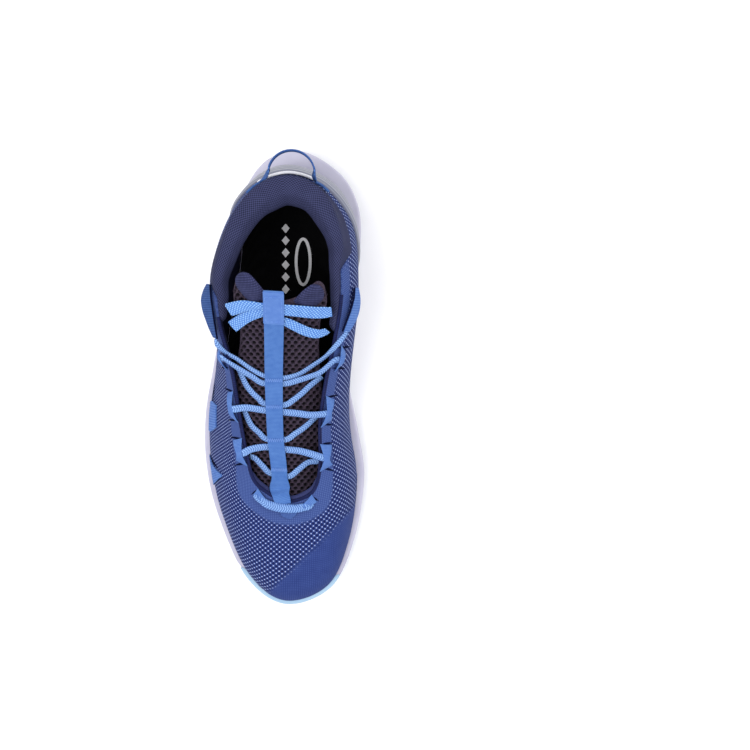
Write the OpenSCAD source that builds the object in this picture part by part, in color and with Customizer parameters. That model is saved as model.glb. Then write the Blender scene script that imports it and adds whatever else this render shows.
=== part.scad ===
// Basketball high top, right foot. Units are millimetres.
// +Z is up, +Y points to the heel, the toe is at -Y and the medial (big toe) side is at +X.
// The origin is the centre of the footprint, on the ground.

/* [Sole] */
// Thickness of the rubber sheet under the midsole
outsole_t = 2; // [1.6:0.1:2.6]
// Height of the tread lugs
lug_h = 1.4; // [1:0.1:1.8]
// Thickness of the sheet that joins the lugs
tread_sheet = 0.6; // [0.5:0.1:1]
// Distance between two rows of herringbone tread
lug_pitch = 9; // [8:0.5:12]
// Radius of the pivot disc under the ball of the foot
pivot_r = 15; // [12:0.5:17]
// How far the toe tip lifts off the ground
toe_spring = 12; // [8:0.5:14]
// How far the heel edge lifts off the ground
heel_bevel = 3; // [1:0.5:4]
// Thickness of the board that closes the bottom of the upper
board_t = 1.8; // [1.5:0.1:2.4]
// Thickness of the removable insole
insole_t = 5; // [4:0.5:6]

/* [Upper] */
// Thickness of the woven outer textile
textile_t = 1.2; // [0.9:0.1:1.3]
// Thickness of the stiffeners hidden between textile and lining
stiffener_t = 0.7; // [0.5:0.1:0.8]
// Thickness of the inner lining
lining_t = 0.9; // [0.7:0.1:1.1]
// Thickness of the overlays on the textile
overlay_t = 0.8; // [0.6:0.1:1]
// Thickness of the moulded heel clip
clip_t = 2; // [1.5:0.1:2.5]
// Thickness of the collar roll at the heel
collar_w = 13; // [11:0.5:15]

/* [Tongue and laces] */
// Thickness of the tongue
tongue_t = 6; // [4:0.5:7]
// Half width of the tongue
tongue_hw = 26; // [24:0.5:28]
// Width of the flat lace where it crosses the tongue
lace_w = 5.2; // [4.5:0.1:5.6]
// Thickness of the lace
lace_t = 1.3; // [1:0.1:1.5]
// Width of the webbing that keeps the lace centred
strap_w = 11; // [10:0.5:12]
// Place of the fold across the tongue, along Y
fold_y = 22.5; // [22:0.5:23]

/* [Pull loop] */
// Width of the loop from side to side
loop_w = 30; // [26:1:32]
// How far the loop stands out behind the collar
loop_reach = 15; // [13:1:18]
// Width of the webbing, which stands on edge
loop_band = 9; // [7:0.5:11]
// Thickness of the webbing
loop_t = 1.6; // [1.2:0.1:2]

/* [Hidden] */

gap = 0.2;              // clearance between neighbouring layers
ribs = 66;              // ribs of the upper, counted from the toe tip by the medial side
rows = 8;               // rows of the upper, from the sole up to the throat or topline
flat_from = -62;        // the tread is flat on the ground between these two places
flat_to = 116;
waist_from = 14;        // no tread between these two places, under the arch
waist_to = 40;
ground_gap = lug_h + tread_sheet + gap;

// Stations round the shoe: 0 at the toe tip, 11 at the back of the heel, the medial side first.
// Sole outline with the height of the midsole's top edge.
SOLE = [
    [1, -150, 27], [31, -139, 25], [46.5, -107, 22], [53, -67, 21], [49, -36, 22], [43, -5, 24],
    [41.5, 25, 27], [45, 56, 30], [50.5, 88, 32], [49, 114, 33], [37, 135, 33.5],
    [12, 149.5, 34], [-11, 144, 33.5], [-26, 124, 33], [-33.5, 98, 32], [-36.5, 68, 30],
    [-41, 40, 28], [-47, 8, 25], [-52.5, -25, 22], [-52, -58, 21], [-44, -92, 22], [-25, -132.5, 24.5]
];
// Throat edge from the vamp up to the collar's front, then the topline round the ankle.
EDGE = [
    [1, -79.5, 62], [11, -79, 62.3], [21, -72.5, 64.3], [25.2, -56, 70], [25.5, -30, 82], [29.5, -3, 96],
    [35, 22, 107.5], [39.5, 50, 119], [39, 79, 124], [34.5, 98.5, 121], [22.5, 115, 117.5],
    [6, 121.5, 115.5], [-10, 116, 116.5], [-22.5, 102.5, 119], [-32, 84, 121.5], [-38.5, 60, 120],
    [-37.5, 35, 113], [-30.5, 4, 98], [-26, -28, 82], [-21.8, -53, 70], [-17.5, -67, 65.5], [-8.5, -75, 63]
];
// Inset of the upper on the sole, then how far it swells out and up at its foot and at its edge.
SHAPE = [
    [2.8, 1.2, 16, 34, -6], [2.8, 1.2, 17, 30, -6], [3.8, 1.5, 18, 20, -6], [5, 1, 20, 15, -7],
    [5, 1.5, 22, 13, -10], [3, 6, 28, 18, -18], [2.5, 6, 28, 20, -22], [4, 4, 30, 20, -25],
    [6, 2, 30, 17, -26], [8.5, 1, 30, 15, -26], [11.5, 1, 30, 13, -25], [14, 1, 30, 12, -25],
    [10.5, 1, 30, 12, -25], [6.5, 1, 30, 13, -25], [4.5, 1, 30, 14, -26], [3.5, 1, 30, 14, -25],
    [3, 1, 28, 9, -22], [3.5, 1.5, 26, 11, -18], [3.5, 1, 22, 13, -12], [4, 1, 20, 16, -8],
    [3.6, 1, 18, 22, -6], [3, 1.2, 17, 28, -6]
];
// How deep the toe bumper is let into the midsole at a station.
function bumper_inset(s) = 2.4 * max(0, 1 - pow(min(abs(s), abs(s - stations)) / 1.3, 4));
stations = len(SOLE);

// Curves through the stations.
function spline(a, b, c, d, t) =
    0.5 * (2 * b + (c - a) * t + (2 * a - 5 * b + 4 * c - d) * t * t + (3 * b - a - 3 * c + d) * t * t * t);
function at(table, s) =
    let (n = len(table), k = floor(s) + n, f = s - floor(s))
    spline(table[(k - 1) % n], table[k % n], table[(k + 1) % n], table[(k + 2) % n], f);
function along(table, y) =
    let (n = len(table), k = max([0, for (i = [0:n - 2]) table[i].x <= y ? i : 0]))
    let (a = table[k], b = table[k + 1], f = (y - a.x) / (b.x - a.x))
    let (p = table[max(k - 1, 0)], q = table[min(k + 2, n - 1)])
    spline(p.y, a.y, b.y, q.y, f);
function outward(s) =
    let (d = at(SOLE, s + 0.05) - at(SOLE, s - 0.05), l = norm([d.x, d.y]))
    [d.y / l, -d.x / l, 0];
function spring(y) =
    y < flat_from ? toe_spring * pow((flat_from - y) / 88, 1.8) :
    y > flat_to ? heel_bevel * pow((y - flat_to) / 34, 2) : 0;

// The upper's outer surface: s runs round the shoe, t from the sole to the edge.
function bezier(a, b, c, d, t) =
    a * pow(1 - t, 3) + b * 3 * t * pow(1 - t, 2) + c * 3 * t * t * (1 - t) + d * pow(t, 3);
function surface_at(s, t) =
    let (n = outward(s), h = at(SHAPE, s), o = at(SOLE, s), e = at(EDGE, s))
    let (f = o - n * h[0] + [0, 0, 0.3])
    bezier(f, f + n * h[1] + [0, 0, h[2]], e + n * h[3] + [0, 0, h[4]], e, t);
function normal_at(s, t) =
    let (ds = surface_at(s + 0.05, t) - surface_at(s - 0.05, t))
    let (dt = surface_at(s, t + 0.02) - surface_at(s, t - 0.02), c = cross(ds, dt))
    c / norm(c);
function over(s, t, h) = surface_at(s, t) + normal_at(s, t) * h;
function station(i) = i * stations / ribs;

GRID = [for (i = [0:ribs - 1]) [for (j = [0:rows]) surface_at(station(i), j / rows)]];
NORMALS = [for (i = [0:ribs - 1]) [for (j = [0:rows]) normal_at(station(i), j / rows)]];
function grid_at(i, t, h) =
    let (k = min(floor(t * rows), rows - 1), f = t * rows - k, r = (i + ribs) % ribs)
    GRID[r][k] * (1 - f) + GRID[r][k + 1] * f + (NORMALS[r][k] * (1 - f) + NORMALS[r][k + 1] * f) * h;

// A skin of even thickness over the cells (i, j) of the grid for which on(i, j) holds.
module skin(inner, outer, on) {
    points = [for (h = [outer, inner]) for (i = [0:ribs - 1]) for (j = [0:rows])
        GRID[i][j] + NORMALS[i][j] * h];
    id = function (layer, i, j) (layer * ribs + (i + ribs) % ribs) * (rows + 1) + j;
    wall = function (i, j, u, v) [
        [id(0, i, j), id(0, u, v), id(1, u, v)],
        [id(0, i, j), id(1, u, v), id(1, i, j)]
    ];
    filled = function (i, j) j >= 0 && j < rows && on((i + ribs) % ribs, j);
    faces = [for (i = [0:ribs - 1]) for (j = [0:rows - 1]) if (filled(i, j)) each concat(
        [[id(0, i, j), id(0, i, j + 1), id(0, i + 1, j + 1)],
         [id(0, i, j), id(0, i + 1, j + 1), id(0, i + 1, j)]],
        [[id(1, i, j), id(1, i + 1, j + 1), id(1, i, j + 1)],
         [id(1, i, j), id(1, i + 1, j), id(1, i + 1, j + 1)]],
        filled(i, j - 1) ? [] : wall(i, j, i + 1, j),
        filled(i + 1, j) ? [] : wall(i + 1, j, i + 1, j + 1),
        filled(i, j + 1) ? [] : wall(i + 1, j + 1, i, j + 1),
        filled(i - 1, j) ? [] : wall(i, j + 1, i, j)
    )];
    polyhedron(points, faces);
}

// A solid between two sheets of points. Rows x columns of the top sheet turn right-handed about its outside.
module plate(top, bottom) {
    nr = len(top);
    nc = len(top[0]);
    id = function (layer, r, c) (layer * nr + r) * nc + c;
    quad = function (a, b, c, d) [[a, d, c], [a, c, b]];
    sheets = [for (r = [0:nr - 2]) for (c = [0:nc - 2]) each concat(
        quad(id(0, r, c), id(0, r + 1, c), id(0, r + 1, c + 1), id(0, r, c + 1)),
        quad(id(1, r, c), id(1, r, c + 1), id(1, r + 1, c + 1), id(1, r + 1, c))
    )];
    ends = [for (r = [0:nr - 2]) each concat(
        quad(id(1, r, 0), id(1, r + 1, 0), id(0, r + 1, 0), id(0, r, 0)),
        quad(id(0, r, nc - 1), id(0, r + 1, nc - 1), id(1, r + 1, nc - 1), id(1, r, nc - 1))
    )];
    sides = [for (c = [0:nc - 2]) each concat(
        quad(id(0, 0, c), id(0, 0, c + 1), id(1, 0, c + 1), id(1, 0, c)),
        quad(id(1, nr - 1, c), id(1, nr - 1, c + 1), id(0, nr - 1, c + 1), id(0, nr - 1, c))
    )];
    polyhedron([for (sheet = [top, bottom]) for (row = sheet) each row], concat(sheets, ends, sides));
}

// A flat band along a path; each path entry is [point under the band, its upward direction].
module band(path, width, thickness) {
    n = len(path);
    side = [for (k = [0:n - 1])
        let (d = path[min(k + 1, n - 1)][0] - path[max(k - 1, 0)][0], w = cross(path[k][1], d))
        w / norm(w) * width / 2];
    sheet = function (h) [for (k = [0:n - 1]) [for (e = [-1, 1]) path[k][0] + side[k] * e + path[k][1] * h]];
    plate(sheet(thickness), sheet(0));
}

// A solid from closed rings of the sole's outline, from the bottom centre out, up and in again.
module stack(rings) {
    n = len(rings[0]);
    last = len(rings) - 1;
    half = n / 2;
    cap = function (k, up) [for (i = [0:half - 1])
        let (a = (n - i) % n, b = n - 1 - i, base = k * n)
        each [for (f = [[a, b, i + 1], [a, i + 1, i]])
            if (f[0] != f[1] && f[1] != f[2] && f[0] != f[2])
                up ? [base + f[0], base + f[1], base + f[2]] : [base + f[2], base + f[1], base + f[0]]]];
    walls = [for (k = [0:last - 1]) for (i = [0:n - 1])
        let (a = k * n + i, b = k * n + (i + 1) % n)
        each [[a, a + n, b + n], [a, b + n, b]]];
    polyhedron([for (r = rings) each r], concat(cap(0, false), walls, cap(last, true)));
}
// One ring, inset from the sole's outline, at heights given by lift(s, y).
function ring(inset, lift) = [for (i = [0:ribs - 1])
    let (s = station(i), p = at(SOLE, s) - outward(s) * inset(s))
    [p.x, p.y, lift(s, p.y)]];
function level(h) = function (s, y) h + spring(y);
function top_level(h) = function (s, y) at(SOLE, s).z + h;
function even(inset) = function (s) inset;
function upper_inset(extra) = function (s) at(SHAPE, s)[0] + extra;

// ---- Sole ----
outsole_z = ground_gap + outsole_t;
waist = function (s) (s > 4.5 && s < 7.5) || (s > 14.5 && s < 17.5);

module lug_row(y) {
    step = 7;
    count = 8;
    translate([0, y]) polygon(concat(
        [for (k = [-count:count]) [k * step, (abs(k) % 2) * 4.5]],
        [for (k = [count:-1:-count]) [k * step, (abs(k) % 2) * 4.5 + lug_pitch * 0.5]]
    ));
}
module tread_zone() intersection() {
    polygon([for (i = [0:ribs - 1])
        let (s = station(i), p = at(SOLE, s) - outward(s) * 9) [p.x, p.y]]);
    translate([-60, flat_from]) square([120, flat_to - flat_from]);
}
module tread() color([0.62, 0.78, 0.93]) {
    pivot = [0, -46];
    linear_extrude(lug_h) difference() {
        intersection() {
            tread_zone();
            union() for (y = [flat_from:lug_pitch:flat_to]) lug_row(y);
        }
        translate(pivot) circle(pivot_r + 2, $fn = 48);
        translate([-60, waist_from]) square([120, waist_to - waist_from]);
    }
    translate(pivot) cylinder(h = lug_h, r = pivot_r, $fn = 48);
    translate([0, 0, lug_h]) linear_extrude(tread_sheet) tread_zone();
}
module outsole() color([0.62, 0.78, 0.93]) stack([
    ring(even(20), level(ground_gap)), ring(even(7), level(ground_gap)),
    ring(even(4.5), level(ground_gap + 1)), ring(even(4.5), level(outsole_z)),
    ring(even(20), level(outsole_z))
]);
pocket = 2.2;
function pocket_level(h) = function (s, y) h + spring(y) + (waist(s) ? pocket : 0);
module shank_plate() color([0.15, 0.15, 0.17]) {
    half = 11;
    lengths = [-14:10:56];
    sheet = function (z) [for (x = [-half, half]) [for (y = lengths) [x, y, z]]];
    plate(sheet(outsole_z + 1.6), sheet(outsole_z + gap));
}
module midsole() color([0.87, 0.86, 0.94]) {
    let_in = function (extra) function (s) bumper_inset(s) + extra;
    stack([
        ring(even(22), pocket_level(outsole_z + gap)), ring(even(20), pocket_level(outsole_z + gap)),
        ring(even(16), level(outsole_z + gap)), ring(let_in(4), level(outsole_z + gap)),
        ring(let_in(1), level(outsole_z + 4)), ring(let_in(0), level(outsole_z + 10)),
        ring(let_in(1.5), top_level(0)), ring(let_in(14), top_level(0))
    ]);
}
module toe_bumper() color([0.62, 0.80, 0.96]) {
    span = [-3:3];
    proud = 0.15;
    point = function (i, inset, z)
        let (s = station(i), n = outward(s), p = at(SOLE, s) - n * inset) [p.x, p.y, z];
    sheet = function (front) [for (i = span)
        let (s = station(i), y = at(SOLE, s).y, top = at(SOLE, s).z)
        let (b = front ? proud : bumper_inset((s + stations) % stations) - gap)
        [point(i, b + 1, outsole_z + 4 + spring(y)), point(i, b, outsole_z + 10 + spring(y)),
         point(i, b + 1.5, top)]];
    plate(sheet(true), sheet(false));
}
module strobel_board() color([0.80, 0.80, 0.78]) stack([
    ring(upper_inset(20), top_level(gap)), ring(upper_inset(4.5), top_level(gap)),
    ring(upper_inset(4.5), top_level(gap + board_t)), ring(upper_inset(20), top_level(gap + board_t))
]);
module insole() color([0.03, 0.03, 0.03]) {
    low = gap * 3 + board_t;
    stack([
        ring(upper_inset(20), top_level(low)), ring(upper_inset(6.5), top_level(low)),
        ring(upper_inset(6.5), top_level(low + insole_t)),
        ring(upper_inset(9), top_level(low + insole_t * 0.9)),
        ring(upper_inset(20), top_level(low + insole_t * 0.7))
    ]);
}

// ---- Upper ----
collar_from = 21;       // ribs between which the upper ends in the padded collar
collar_to = 48;
collar_row = 5;         // the collar's roll starts at this row
in_collar = function (i) i >= collar_from && i < collar_to;
stiffener_out = -textile_t - gap;
lining_out = stiffener_out - stiffener_t - gap;

module upper_textile() color([0.25, 0.32, 0.60])
    skin(-textile_t, 0, function (i, j) !in_collar(i) || j < collar_row + 1);
module lining() color([0.20, 0.20, 0.34])
    skin(lining_out - lining_t, lining_out, function (i, j) !in_collar(i) || j < collar_row - 1);
module toe_puff() color([0.85, 0.83, 0.75])
    skin(stiffener_out - stiffener_t, stiffener_out, function (i, j) (i < 5 || i >= 61) && j < 3);
module heel_stiffener() color([0.85, 0.83, 0.75])
    skin(stiffener_out - stiffener_t, stiffener_out, function (i, j) i >= 26 && i < 40 && j < 4);
module toe_overlay() color([0.28, 0.35, 0.62])
    skin(gap, gap + overlay_t,
        function (i, j) (i < 8 && j < min(5, 1 + i)) || (i >= 8 && i < 12 && j < 12 - i));
module eyestay() color([0.36, 0.43, 0.72])
    skin(gap, gap + overlay_t,
        function (i, j) (i < 18 || i >= 50) && j >= rows - ((i < 6 || i >= 60) ? 2 : 1));
module heel_clip() color([0.55, 0.56, 0.64])
    skin(gap, gap + clip_t, function (i, j) abs(i - 32.5) < 10 && j < 5 - floor(abs(i - 32.5) / 3.4));
module throat_tab() color([0.36, 0.55, 0.88])
    band([for (t = [0.85, 0.88, 0.91]) [over(0.25, t, 1.3), normal_at(0.25, t)]], 5, 1);

// The collar: cover and foam as one roll, thinner towards its two front ends.
function collar_t(i) =
    let (f = min(i - collar_from, collar_to - i) / 7, e = min(f, 1))
    7 + (collar_w - 7) * e * (2 - e);
function collar_section(i) =
    let (w = collar_t(i), up = [0, 0, 1])
    let (r = (collar_row + 1 + 0.1) / rows, q = (collar_row - 1 + 0.15) / rows)
    let (top = GRID[i % ribs][rows], n = NORMALS[i % ribs][rows], o = [n.x, n.y, 0] / norm([n.x, n.y]))
    [
        grid_at(i, r, 0), grid_at(i, 7.4 / rows, 0.5), top + o * 1.5 + up * 2,
        top - o * w * 0.3 + up * 5, top - o * w * 0.65 + up * 3, top - o * w * 0.95 - up * 4,
        grid_at(i, 7 / rows, -w), grid_at(i, 6 / rows, -w),
        grid_at(i, 5 / rows, -w * 0.8), grid_at(i, q, -5.5),
        grid_at(i, q, lining_out), grid_at(i, 5.4 / rows, lining_out), grid_at(i, r, lining_out)
    ];
module tube(sections) {
    n = len(sections);
    m = len(sections[0]);
    center = function (ring) [for (k = [0:2]) [for (p = ring) p[k]] * [for (p = ring) 1] / m];
    points = concat([for (r = sections) each r], [center(sections[0]), center(sections[n - 1])]);
    walls = [for (k = [0:n - 2]) for (j = [0:m - 1])
        let (a = k * m + j, b = k * m + (j + 1) % m)
        each [[a, b, b + m], [a, b + m, a + m]]];
    ends = [for (j = [0:m - 1]) each [
        [n * m, (j + 1) % m, j], [n * m + 1, (n - 1) * m + j, (n - 1) * m + (j + 1) % m]
    ]];
    polyhedron(points, concat(walls, ends));
}
module collar_padding() color([0.24, 0.25, 0.42])
    tube([for (i = [collar_from:collar_to]) collar_section(i)]);
module heel_piping() color([0.95, 0.95, 0.97])
    band([for (k = [-4:4]) [over(11.5 + k * 0.3, 0.68, 0.7), normal_at(11.5 + k * 0.3, 0.68)]], 4, 0.9);

// Wings: webbing flaps that stand off the collar's front and take the top row of lace.
module wing(from, to, bulge, low, high) {
    steps = 6;
    sheet = function (extra) [for (k = [0:steps])
        let (f = k / steps, s = from + (to - from) * f)
        [for (g = [0:3]) over(s, high[0] + (high[1] - high[0]) * f
            - (1 - g / 3) * (low[0] + (low[1] - low[0]) * f), 2.4 + bulge * sin(180 * f) + extra)]];
    if (to > from) plate(sheet(1.4), sheet(0));
    else plate([for (r = [steps:-1:0]) sheet(1.4)[r]], [for (r = [steps:-1:0]) sheet(0)[r]]);
}
module wing_lateral() color([0.22, 0.36, 0.70]) wing(15.05, 16.2, 3, [0.17, 0.07], [0.92, 0.95]);
module wing_medial() color([0.40, 0.58, 0.88]) wing(7.25, 6.35, -0.8, [0.13, 0.06], [0.90, 0.95]);
module side_webbing() color([0.36, 0.55, 0.88]) {
    for (place = [[17.85, 0.34], [19.05, 0.30]])
        band([for (k = [0:4]) let (s = place[0] - 0.06 * k, t = place[1] + 0.07 * k)
            [over(s, t, 0.9), normal_at(s, t)]], 8, 0.8);
}

// ---- Tongue ----
// Height of the tongue's top along its middle: [y, z].
TONGUE = [[-110, 44], [-96, 49], [-79, 55], [-58, 65], [-36, 77.5], [-15, 90.5],
          [0, 100], [15, 111.5], [30, 124.5], [45, 139.5], [60, 156]];
TONGUE_X = [[-110, 1], [-60, -1], [0, -1.5], [30, 1], [60, 2]];
STRAP_X = [[-110, 1], [-79, -1], [-58, -1.5], [-36, -3.2], [0, -3.2], [30, -2], [60, -1]];
tongue_bow = 60;        // the tongue drops by x * x / this to both sides
fold_z = along(TONGUE, fold_y) - tongue_t / 2;
fold_gap = 1.2;

function tongue_z(x, y) = along(TONGUE, y) - pow(x - along(TONGUE_X, y), 2) / tongue_bow;
function tongue_up(x, y) =
    let (dx = [2, 0, tongue_z(x + 1, y) - tongue_z(x - 1, y)])
    let (dy = [0, 2, tongue_z(x, y + 1) - tongue_z(x, y - 1)])
    let (n = cross(dx, dy))
    n / norm(n);
function tongue_half(y) = y < -60
    ? tongue_hw + 3.5 - (-60 - y) * 0.3
    : tongue_hw + 3.5 * max(0, min(1, (20 - y) / 25));
// The tongue's top ends in two lobes with a dip between them: [part of the half width, y].
TONGUE_END = [[-1, 55], [-0.75, 64], [-0.4, 53], [0, 46], [0.4, 50], [0.8, 59], [1, 52]];
function tongue_grid(y0, y1, drop) = [for (k = [-4:4])
    let (f = k / 4, last = is_undef(y1) ? along(TONGUE_END, f) : y1, steps = is_undef(y1) ? 5 : 12)
    [for (c = [0:steps])
        let (y = y0 + (last - y0) * c / steps, x = along(TONGUE_X, y) + f * tongue_half(y))
        [x, y, tongue_z(x, y)] - tongue_up(x * 0.7, y) * drop]];
module tongue_lower() color([0.26, 0.24, 0.32])
    plate(tongue_grid(-92, fold_y - fold_gap, 0), tongue_grid(-92, fold_y - fold_gap, tongue_t));
module tongue_upper() color([0.26, 0.24, 0.32])
    plate(tongue_grid(fold_y + fold_gap, undef, 0), tongue_grid(fold_y + fold_gap, undef, tongue_t));
// Padded lobes on the tongue's top, one on each side of the keeper.
module tongue_pad(side) {
    columns = [0.34, 0.5, 0.66, 0.82, 0.96];
    sheet = function (h, shrink) [for (f = columns)
        let (g = side * (0.65 + (f - 0.65) * (1 - shrink)), last = along(TONGUE_END, g) - 1)
        [for (c = [0:3])
            let (y = (48.5 + shrink * 4) + (last - shrink * 6 - 48.5) * c / 3)
            let (x = along(TONGUE_X, y) + g * tongue_hw)
            [x, y, tongue_z(x, y)] + tongue_up(x, y) * h]];
    if (side > 0) plate(sheet(3.5, 0.25), sheet(gap * 2, 0));
    else plate(backwards(sheet(3.5, 0.25)), backwards(sheet(gap * 2, 0)));
}
module tongue_pad_lateral() color([0.29, 0.28, 0.46]) tongue_pad(-1);
module tongue_pad_medial() color([0.29, 0.28, 0.46]) tongue_pad(1);

// ---- Keeper webbing and lace ----
lace_h = 0.7;           // height of the lace over the tongue
strap_h = lace_h + lace_t + 0.5;
strap_t = 1.1;
function on_tongue(x, y, h) = [[x, y, tongue_z(x, y)] + tongue_up(x, y) * h, tongue_up(x, y)];
function strap_path(y0, y1, count) = [for (k = [0:count])
    let (y = y0 + (y1 - y0) * k / count) on_tongue(along(STRAP_X, y), y, strap_h)];
module keeper_lower() color([0.42, 0.60, 0.90])
    band(strap_path(-71, fold_y - fold_gap, 12), strap_w, strap_t);
module keeper_upper() color([0.42, 0.60, 0.90])
    band(strap_path(fold_y + fold_gap, 55, 5), strap_w + 1.5, strap_t);
tack_places = [-55, -31, -10, 8];
// Stitched spots where the keeper webbing is sewn down between two rows of lace.
module bar_tacks() color([0.50, 0.68, 0.95])
    for (y = tack_places) {
        x = along(STRAP_X, y);
        sheet = function (h) [for (e = [-1, 1]) [for (d = [-1, 1]) on_tongue(x + e * 4, y + d * 0.8, h)[0]]];
        plate(sheet(strap_h - 0.05), sheet(0.35));
    }

// Rows of lace: [kind, station at the left end, station at the right end, place under the keeper].
OVER = 0;   // the row crosses the throat's edge and is held by a loop outside it
UNDER = 1;  // the row dives under the throat's edge
ROWS = [
    [UNDER, 19.0, 3.0, -64], [OVER, 18.72, 3.25, -45], [UNDER, 17.85, 4.1, -39],
    [OVER, 17.7, 4.3, -20.8], [UNDER, 17.0, 5.05, -15], [OVER, 16.72, 5.6, -3.6]
];
lace_off = gap * 2 + overlay_t + 0.5;
function lace_end(kind, s) = kind == OVER
    ? [[over(s, 0.91, lace_off), normal_at(s, 0.91)], [over(s, 1.0, lace_off + 0.4), normal_at(s, 0.95)]]
    : [let (p = over(s, 0.985, -6)) [p, tongue_up(p.x, p.y)]];
// The free stretch between the edge and the keeper, from the keeper outwards.
function lace_arm(from, to) = [for (f = [0.25, 0.45, 0.65, 0.85])
    let (x = from.x + (to.x - from.x) * f, y = from.y + (to.y - from.y) * pow(f, 1.3))
    let (z = max(tongue_z(x, y) + lace_h / cos(45) + f * 1.6, from.z + (to.z - from.z) * f))
    [[x, y, z], tongue_up(x * 0.8, y)]];
function backwards(list) = [for (k = [len(list) - 1:-1:0]) list[k]];
function lace_row(kind, left, right, y) =
    let (x = along(STRAP_X, y), a = lace_end(kind, left), b = lace_end(kind, right))
    let (mid = [for (dx = [-5, 0, 5]) on_tongue(x + dx, y, lace_h)])
    concat(
        a, backwards(lace_arm(mid[0][0], a[len(a) - 1][0])), mid,
        lace_arm(mid[2][0], b[len(b) - 1][0]), backwards(b)
    );
// The lowest row lies on the vamp in front of the throat.
toe_row = [for (p = [[20.4, 0.93], [20.9, 0.93], [21.6, 0.95], [0.1, 0.96], [0.8, 0.95], [1.3, 0.94],
    [1.7, 0.94]]) [over(p[0], p[1], lace_off), normal_at(p[0], p[1])]];
// The highest row runs from the keeper over the collar's front to the tips of the two wings.
wing_row = concat(
    [[over(16.32, 0.90, 4.0), normal_at(16.32, 0.90)], [over(16.4, 1.0, 3.6), [0, -0.4, 1]]],
    [on_tongue(-28.5, 18.5, 6)], [for (p = [[-23, 12.5], [-16, 6.5]]) on_tongue(p[0], p[1], lace_h + 0.6)],
    [for (p = [[-9, 2.5], [-3, 1.4], [4, 1.4]]) on_tongue(p[0], p[1], lace_h)],
    [for (p = [[12, 4.5], [20, 10.5]]) on_tongue(p[0], p[1], lace_h + 0.6)], [on_tongue(28, 18, 5.6)],
    [[over(6.08, 1.0, 3.6), [0, -0.4, 1]], [over(6.25, 0.90, 3.2), normal_at(6.25, 0.90)]]
);
module lace() color([0.45, 0.63, 0.92]) {
    for (r = ROWS) band(lace_row(r[0], r[1], r[2], r[3]), lace_w, lace_t);
    band(toe_row, lace_w + 0.6, lace_t);
    band(wing_row, lace_w - 1.2, lace_t);
}
// The loose ends, folded flat under the keeper's top.
module lace_tails() color([0.45, 0.63, 0.92]) {
    path = function (list) [for (p = list) on_tongue(p[0], p[1], lace_h)];
    band(path([[-27, 43], [-19, 44.5], [-9, 43], [-1, 42], [10, 42], [19, 42], [27, 43]]), 8, lace_t);
    band(path([[-26, 30], [-18, 32], [-9, 33], [-1, 32.5], [9, 31], [17, 29.5], [24, 30]]), 8, lace_t);
}
module lace_loops(places) {
    for (s = places)
        band([for (k = [-2:2])
            [over(s + k * 0.15, 0.94, (abs(k) == 2 ? 1.6 : lace_off + lace_t + 0.9)),
             normal_at(s + k * 0.15, 0.94)]],
            5, 0.9);
}
module lace_loops_lateral() color([0.36, 0.55, 0.88]) lace_loops([16.72, 17.7, 18.72]);
module lace_loops_medial() color([0.36, 0.55, 0.88]) lace_loops([3.25, 4.3, 5.6]);

// ---- Pull loop at the heel ----
loop_z = 107;           // height of the loop's lower edge
loop_x = 8;             // the loop's middle
loop_base = 128.5;      // where the loop starts behind the collar, along Y
module pull_loop() color([0.30, 0.50, 0.85])
    translate([loop_x, loop_base, loop_z]) linear_extrude(loop_band) {
        r = loop_w / 2;
        leg = max(loop_reach - r, 0.5);
        difference() {
            union() {
                translate([0, leg]) circle(r, $fn = 96);
                translate([-r, 0]) square([loop_w, leg]);
            }
            translate([0, leg]) circle(r - loop_t, $fn = 96);
            translate([loop_t - r, -r]) square([loop_w - loop_t * 2, r + leg]);
            translate([-r - 1, -loop_w]) square([loop_w + 2, loop_w]);
        }
    }
// The loop's two ends, sewn flat along the collar.
module pull_loop_anchor() color([0.30, 0.50, 0.85])
    for (span = [[10.0, 10.75], [11.45, 12.2]])
        band([for (k = [0:4]) let (s = span[0] + (span[1] - span[0]) * k / 4)
            [over(s, 0.86, 0.8), normal_at(s, 0.86)]], 7, 1);

tread();
outsole();
shank_plate();
midsole();
toe_bumper();
strobel_board();
insole();
upper_textile();
lining();
toe_puff();
heel_stiffener();
toe_overlay();
eyestay();
heel_clip();
collar_padding();
heel_piping();
wing_lateral();
wing_medial();
side_webbing();
throat_tab();
tongue_lower();
tongue_upper();
tongue_pad_lateral();
tongue_pad_medial();
keeper_lower();
keeper_upper();
bar_tacks();
lace();
lace_tails();
lace_loops_lateral();
lace_loops_medial();
pull_loop();
pull_loop_anchor();
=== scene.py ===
"""Looks of the basketball high top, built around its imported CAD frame.

Lengths and places are millimetres in the part's own frame: +Z is up, +Y points to the heel, +X to the big toe
side. piece() turns them into metres. The upper's surface is addressed by s, which runs round the shoe from
the toe tip by the medial side (22 stations), and t, which runs from the sole (0) to the throat or topline (1).
"""
import math

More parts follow.
